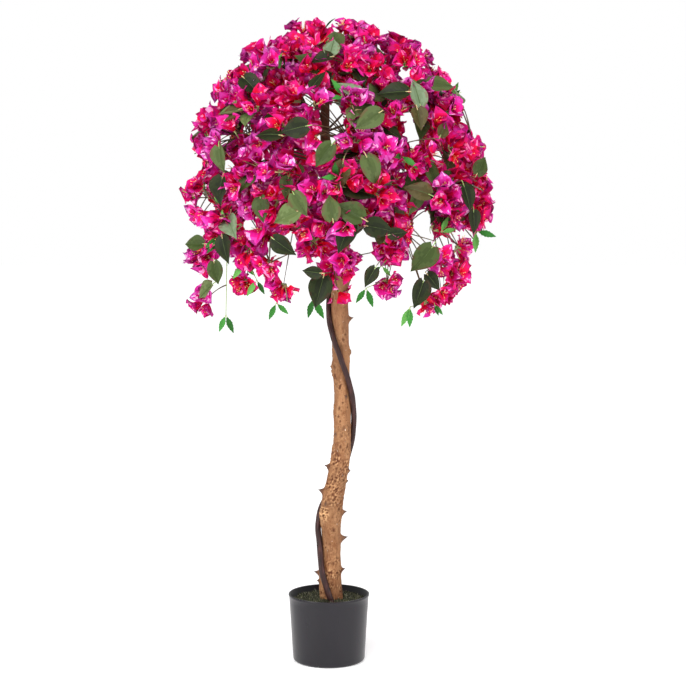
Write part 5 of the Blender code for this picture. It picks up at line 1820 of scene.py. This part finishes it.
def finer_heads(masses, limbs, chance):
    """More heads, with their facings, wherever the crown would still be open."""
    taken = np.array([tuple(root) for root in held_heads(masses)])
    found = []
    for k in range(FINER_TRIES):
        inset = lerp(FINER_DEPTH, (k * EVEN_STEPS[1]) % 1.0) + HEAD_INSET * 0.6
        height = lerp((TREE_HEIGHT - inset, FINER_FLOOR), (k * EVEN_STEPS[0]) % 1.0)
        spot = on_bearing(k * GOLDEN_ANGLE, crown_radius(height, inset), height)
        if np.linalg.norm(taken - np.array(spot), axis=1).min() < FINER_SPACING:
            continue
        if limbs.distance([spot]) < FINER_CLEARANCE:
            continue
        taken = np.vstack([taken, tuple(spot)])
        found.append((spot, (crown_outward(spot) + scattered(chance, FINER_SCATTER)).normalized()))
    return found


def around(path, share, chance, out):
    """A direction off a path's side, and the place it leaves."""
    root, ahead = along_path(path, share)
    across = ahead.cross(out).normalized() * chance.choice((-1, 1))
    turn = math.radians(chance.uniform(*SIDE_TURN))
    along = ahead * math.cos(turn) + across * math.sin(turn) + out * chance.uniform(*SIDE_LIFT)
    return root, along.normalized()


def add_side_leaf(ring, path, share, chance):
    """A leaf on the side of a path."""
    out = crown_outward(path[round(share * (len(path) - 1))])
    root, along = around(path, share, chance, out)
    up = (out + UP * 0.5 + scattered(chance, 0.5)).normalized()
    if abs(along.dot(up)) > SIDE_ON_EDGE:
        return
    length = chance.uniform(*SIDE_LEAF_LENGTH)
    add_leaf_blade(ring, root, along, up, length, chance.uniform(*SIDE_LEAF_WIDTH), chance)


def grow_finer(masses, rings, limbs, chance):
    """Finer twigs, each with a blossom head and leaves of its own: the places along them."""
    stems = []
    for spot, facing in finer_heads(masses, limbs, chance):
        if pruned(spot):
            continue
        ring, path = limb_to(masses, rings, spot, FINER_STEPS)
        stems += path
        add_cluster(ring, spot, facing, chance)
        if chance.random() < SIDE_LEAF_SHARE:
            add_side_leaf(ring, path, SIDE_LEAF_PLACE, chance)
    return stems


def rooted(stems, across, height, layer):
    """The grown place that shows closest to where a stalk starts at the front."""
    start = placed(across, height, layer)
    shown_across, shown_height = in_front(stems)
    off = np.hypot(shown_across - across, shown_height - height)
    far = np.linalg.norm(np.array(stems) - np.array(start), axis=1)
    return Vector(stems[(off * (SHOWN_WEIGHT if layer > 0 else 0.0) + far).argmin()])


def hang_front_pairs(rows, masses, rings, stems, chance):
    """Leaflet pairs of the hem, on their thin stalks."""
    for across, height, start_across, start_height, bearing, length, spread in rows:
        fork = placed(across, height, HEM_LAYERS[0])
        start = rooted(stems, start_across, start_height, HEM_LAYERS[0])
        path = [start.lerp(fork, k / CURVE_STEPS) for k in range(CURVE_STEPS + 1)]
        stems += path
        ring = rings[nearest_mass(masses, fork).ring]
        radii = [lerp(PAIR_STALK, k / CURVE_STEPS) for k in range(CURVE_STEPS + 1)]
        add_tube(ring["pedicel"], path, radii, STALK_SIDES, PEDICEL_TONES - 1)
        turn = math.radians(bearing)
        along = Vector((math.cos(turn), -0.15, math.sin(turn))).normalized()
        up = Vector((0.0, -1.0, 0.1)).normalized()
        hang_pair(ring, fork, along, up, length, chance, LET_STAND, spread)


def hang_clusters(layer, taken, masses, rings, stems, chance):
    """One layer of the hem's clusters: at the front, in the middle or at the back."""
    for across, height, radius, *start, bow in HEM:
        spot = placed(across, height, layer)
        if min((root - spot).length for root in taken) < HEM_NEAR:
            continue
        taken.append(spot)
        ring = rings[nearest_mass(masses, spot).ring]
        if layer != HEM_LAYERS[0]:
            start, bow = (across * HEM_FAN, HEM_TOP + HEM_BEHIND), 0.0
        start = rooted(stems, *start, layer)
        path = curve(start, start.lerp(spot, 0.5) + UP * (2 * bow), spot, CURVE_STEPS)
        grown_twig(ring, path, FINER_TWIG)
        stems += path
        forward = Vector((0, -0.6 if layer >= 0 else 0.4, -0.1))
        facing = (crown_outward(spot) + forward).normalized()
        count, size = next(row[1:] for row in HEM_FLORETS if radius < row[0])
        add_cluster(ring, spot, facing, chance, count, size)


def lay_front_leaf(row, masses, rings, chance):
    """A broad leaf at the front, on a finer twig or a stalk from its cluster."""
    across, height, bearing, length, tone = row
    spot = placed(across, height, FRONT_DEPTH)
    turn = math.radians(bearing)
    tilt = scattered(chance, 0.45)
    out = (crown_outward(spot) + Vector((0, -0.7, 0.3)) + tilt).normalized()
    along = Vector((math.cos(turn), 0.0, math.sin(turn)))
    along = (along - out * along.dot(out) * 0.8).normalized()
    foot = spot - along * length * 0.62
    if height > HEM_TOP:
        ring, _ = limb_to(masses, rings, foot, CURVE_STEPS)
    else:
        ring = rings[nearest_mass(masses, foot).ring]
        clusters = [placed(*cluster[:2], HEM_LAYERS[0]) for cluster in HEM]
        near = min(clusters, key=lambda place: (place - foot).length)
        add_tube(ring["twig"], [near, near.lerp(foot, 0.5), foot], LEAF_STALK_RADII, STALK_SIDES)
    width = chance.uniform(*FRONT_LEAF_WIDTH)
    add_leaf_blade(ring, foot, along, out, length, width, chance, tone, LET_STAND)


def grow_front(masses, rings, stems, chance):
    """The clusters, leaflet pairs and broad leaves that show at the front."""
    taken = held_heads(masses)
    hang_front_pairs([row for row in HEM_PAIRS if row[3] > HEM_TOP], masses, rings, stems, chance)
    for layer in HEM_LAYERS:
        hang_clusters(layer, taken, masses, rings, stems, chance)
    hang_front_pairs([row for row in HEM_PAIRS if row[3] <= HEM_TOP], masses, rings, stems, chance)
    for row in FRONT_LEAVES:
        lay_front_leaf(row, masses, rings, chance)


def grow_shoots(masses, rings, chance):
    """Bright young shoots: a pair of leaflets on a thin stalk between the heads."""
    bearing = [mass for mass in masses if mass.kept]
    for k in range(SHOOT_COUNT):
        mass = bearing[k % len(bearing)]
        ring = rings[mass.ring]
        path = smooth_path(chance.choice(mass.kept), FINER_STEPS)
        out = crown_outward(path[-1])
        root, along = around(path, chance.uniform(*SHOOT_PLACE), chance, out)
        along = (along + out * 0.6).normalized()
        end = root + along * chance.uniform(*SHOOT_LENGTH)
        if left_open([end, end + along * 0.03]):
            continue
        add_tube(ring["twig"], [root, root.lerp(end, 0.5), end], SHOOT_RADII, STALK_SIDES)
        hang_pair(ring, end, along, out, chance.uniform(*SHOOT_LEAFLET), chance)


def grow_bough(mass, skin):
    """A mass's bough, as far as the last twig that leaves it."""
    if not mass.starts:
        return
    path = [mass.limb(k / BOUGH_STEPS) for k in range(BOUGH_STEPS + 1)]
    near = [min((point - spot).length for spot in mass.starts) for point in path]
    last = max([k for k, far in enumerate(near) if far < BOUGH_NEAR] + [2])
    deep, fast, apart = BOUGH_SWELL
    swell = [1 + deep * math.sin(k * fast + mass.heart.x * apart) for k in range(last + 1)]
    radii = [lerp(BOUGH_SKIN, k / BOUGH_STEPS) * swell[k] for k in range(last + 1)]
    add_tube(skin, path[: last + 1], radii, BOUGH_SIDES)


def crown(looks):
    """The whole crown, grown by its plan and carried on to finer twigs."""
    masses = plan_masses()
    limbs = plan_limbs(masses)
    plan_foliage(masses, limbs)
    chance = random.Random(LOOKS_SEED)
    rings = {mass.ring: {kind: Skin() for kind in CROWN_KINDS} for mass in masses}
    for mass in masses:
        prune(mass)
        grow_mass(mass, rings[mass.ring], chance)
    stems = [spot for mass in masses for path in mass.kept for spot in smooth_path(path, CURVE_STEPS)]
    stems += grow_finer(masses, rings, limbs, chance)
    grow_front(masses, rings, stems, chance)
    grow_shoots(masses, rings, chance)
    boughs = Skin()
    for mass in masses:
        grow_bough(mass, boughs)
    boughs.make("boughs", looks["bough"], "bough", [f"bough_{m.name}" for m in masses if m.entry])
    for name, skins in rings.items():
        nodes = [f"foliage_{m.name}" for m in masses if m.ring == name]
        for kind, skin in skins.items():
            if skin.count:
                slot = "bough" if kind == "twig" else "foliage"
                skin.make(f"{kind}s_{name}", looks[kind], slot, nodes)


# ---------------------------------------------------------------- stage
def stage_floor():
    """A wide plain pale floor that is evenly white out to where it ends."""
    look = Look("floor_pale", 0.7, "F4F4F4")
    look.shader.inputs["Emission Color"].default_value = WHITE
    far = look.node("VectorMath", {0: look.node("TexCoord").outputs["Object"]}, operation="LENGTH")
    glow = look.ranged(far.outputs["Value"], (FLOOR_NEAR, FLOOR_FAR), FLOOR_GLOW)
    look.feed(look.shader.inputs["Emission Strength"], glow)
    mesh = bpy.data.meshes.new("floor")
    corners = [(-FLOOR_HALF, -FLOOR_HALF, 0), (FLOOR_HALF, -FLOOR_HALF, 0)]
    corners += [(FLOOR_HALF, FLOOR_HALF, 0), (-FLOOR_HALF, FLOOR_HALF, 0)]
    mesh.from_pydata(corners, [], [(0, 1, 2, 3)])
    mesh.materials.append(look.made)
    shown("floor", mesh)


def stage_light():
    """A white sky that lights softly, and four lamps."""
    world = bpy.data.worlds.new("studio")
    world.use_nodes = True
    sky = world.node_tree.nodes["Background"]
    sky.inputs["Color"].default_value = WHITE
    seen = world.node_tree.nodes.new("ShaderNodeLightPath").outputs["Is Camera Ray"]
    share = world.node_tree.nodes.new("ShaderNodeMapRange")
    share.inputs["To Min"].default_value = SKY_LIGHT
    world.node_tree.links.new(seen, share.inputs["Value"])
    world.node_tree.links.new(share.outputs["Result"], sky.inputs["Strength"])
    bpy.context.scene.world = world
    for name, place, size, energy in LAMPS:
        lamp = bpy.data.lights.new(name, "AREA")
        lamp.shape = "RECTANGLE"
        lamp.size, lamp.size_y = size
        lamp.energy = energy
        holder = shown(name, lamp)
        holder.location = place
        aim = Vector(LAMP_AIM) - Vector(place)
        holder.rotation_euler = aim.to_track_quat("-Z", "Y").to_euler()


def stage_camera():
    """The camera, as the plant is seen from its front."""
    view = bpy.data.cameras.new("camera")
    view.sensor_width = SENSOR
    view.lens = SENSOR * FOCAL_PIXELS / PHOTO_PIXELS
    camera = shown("camera", view)
    camera.location = CAMERA_SPOT
    camera.rotation_euler = (math.radians(90 - CAMERA_TILT), 0.0, 0.0)
    bpy.context.scene.camera = camera
    bpy.context.scene.view_settings.view_transform = "Standard"


def main():
    """Set the stage and dress the plant."""
    stage_floor()
    stage_light()
    stage_camera()
    looks = plant_looks()
    smooth_pot([clouded("pot_plastic"), clouded("pot_inside")])
    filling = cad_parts["pot_fill"]
    filling.data.materials.clear()
    filling.data.materials.append(clouded("cement"))
    moss(clouded("moss_bed"), looks["moss"])
    trunk_bark(bark_look())
    vine_skin(clouded("vine_skin"))
    crown(looks)


main()
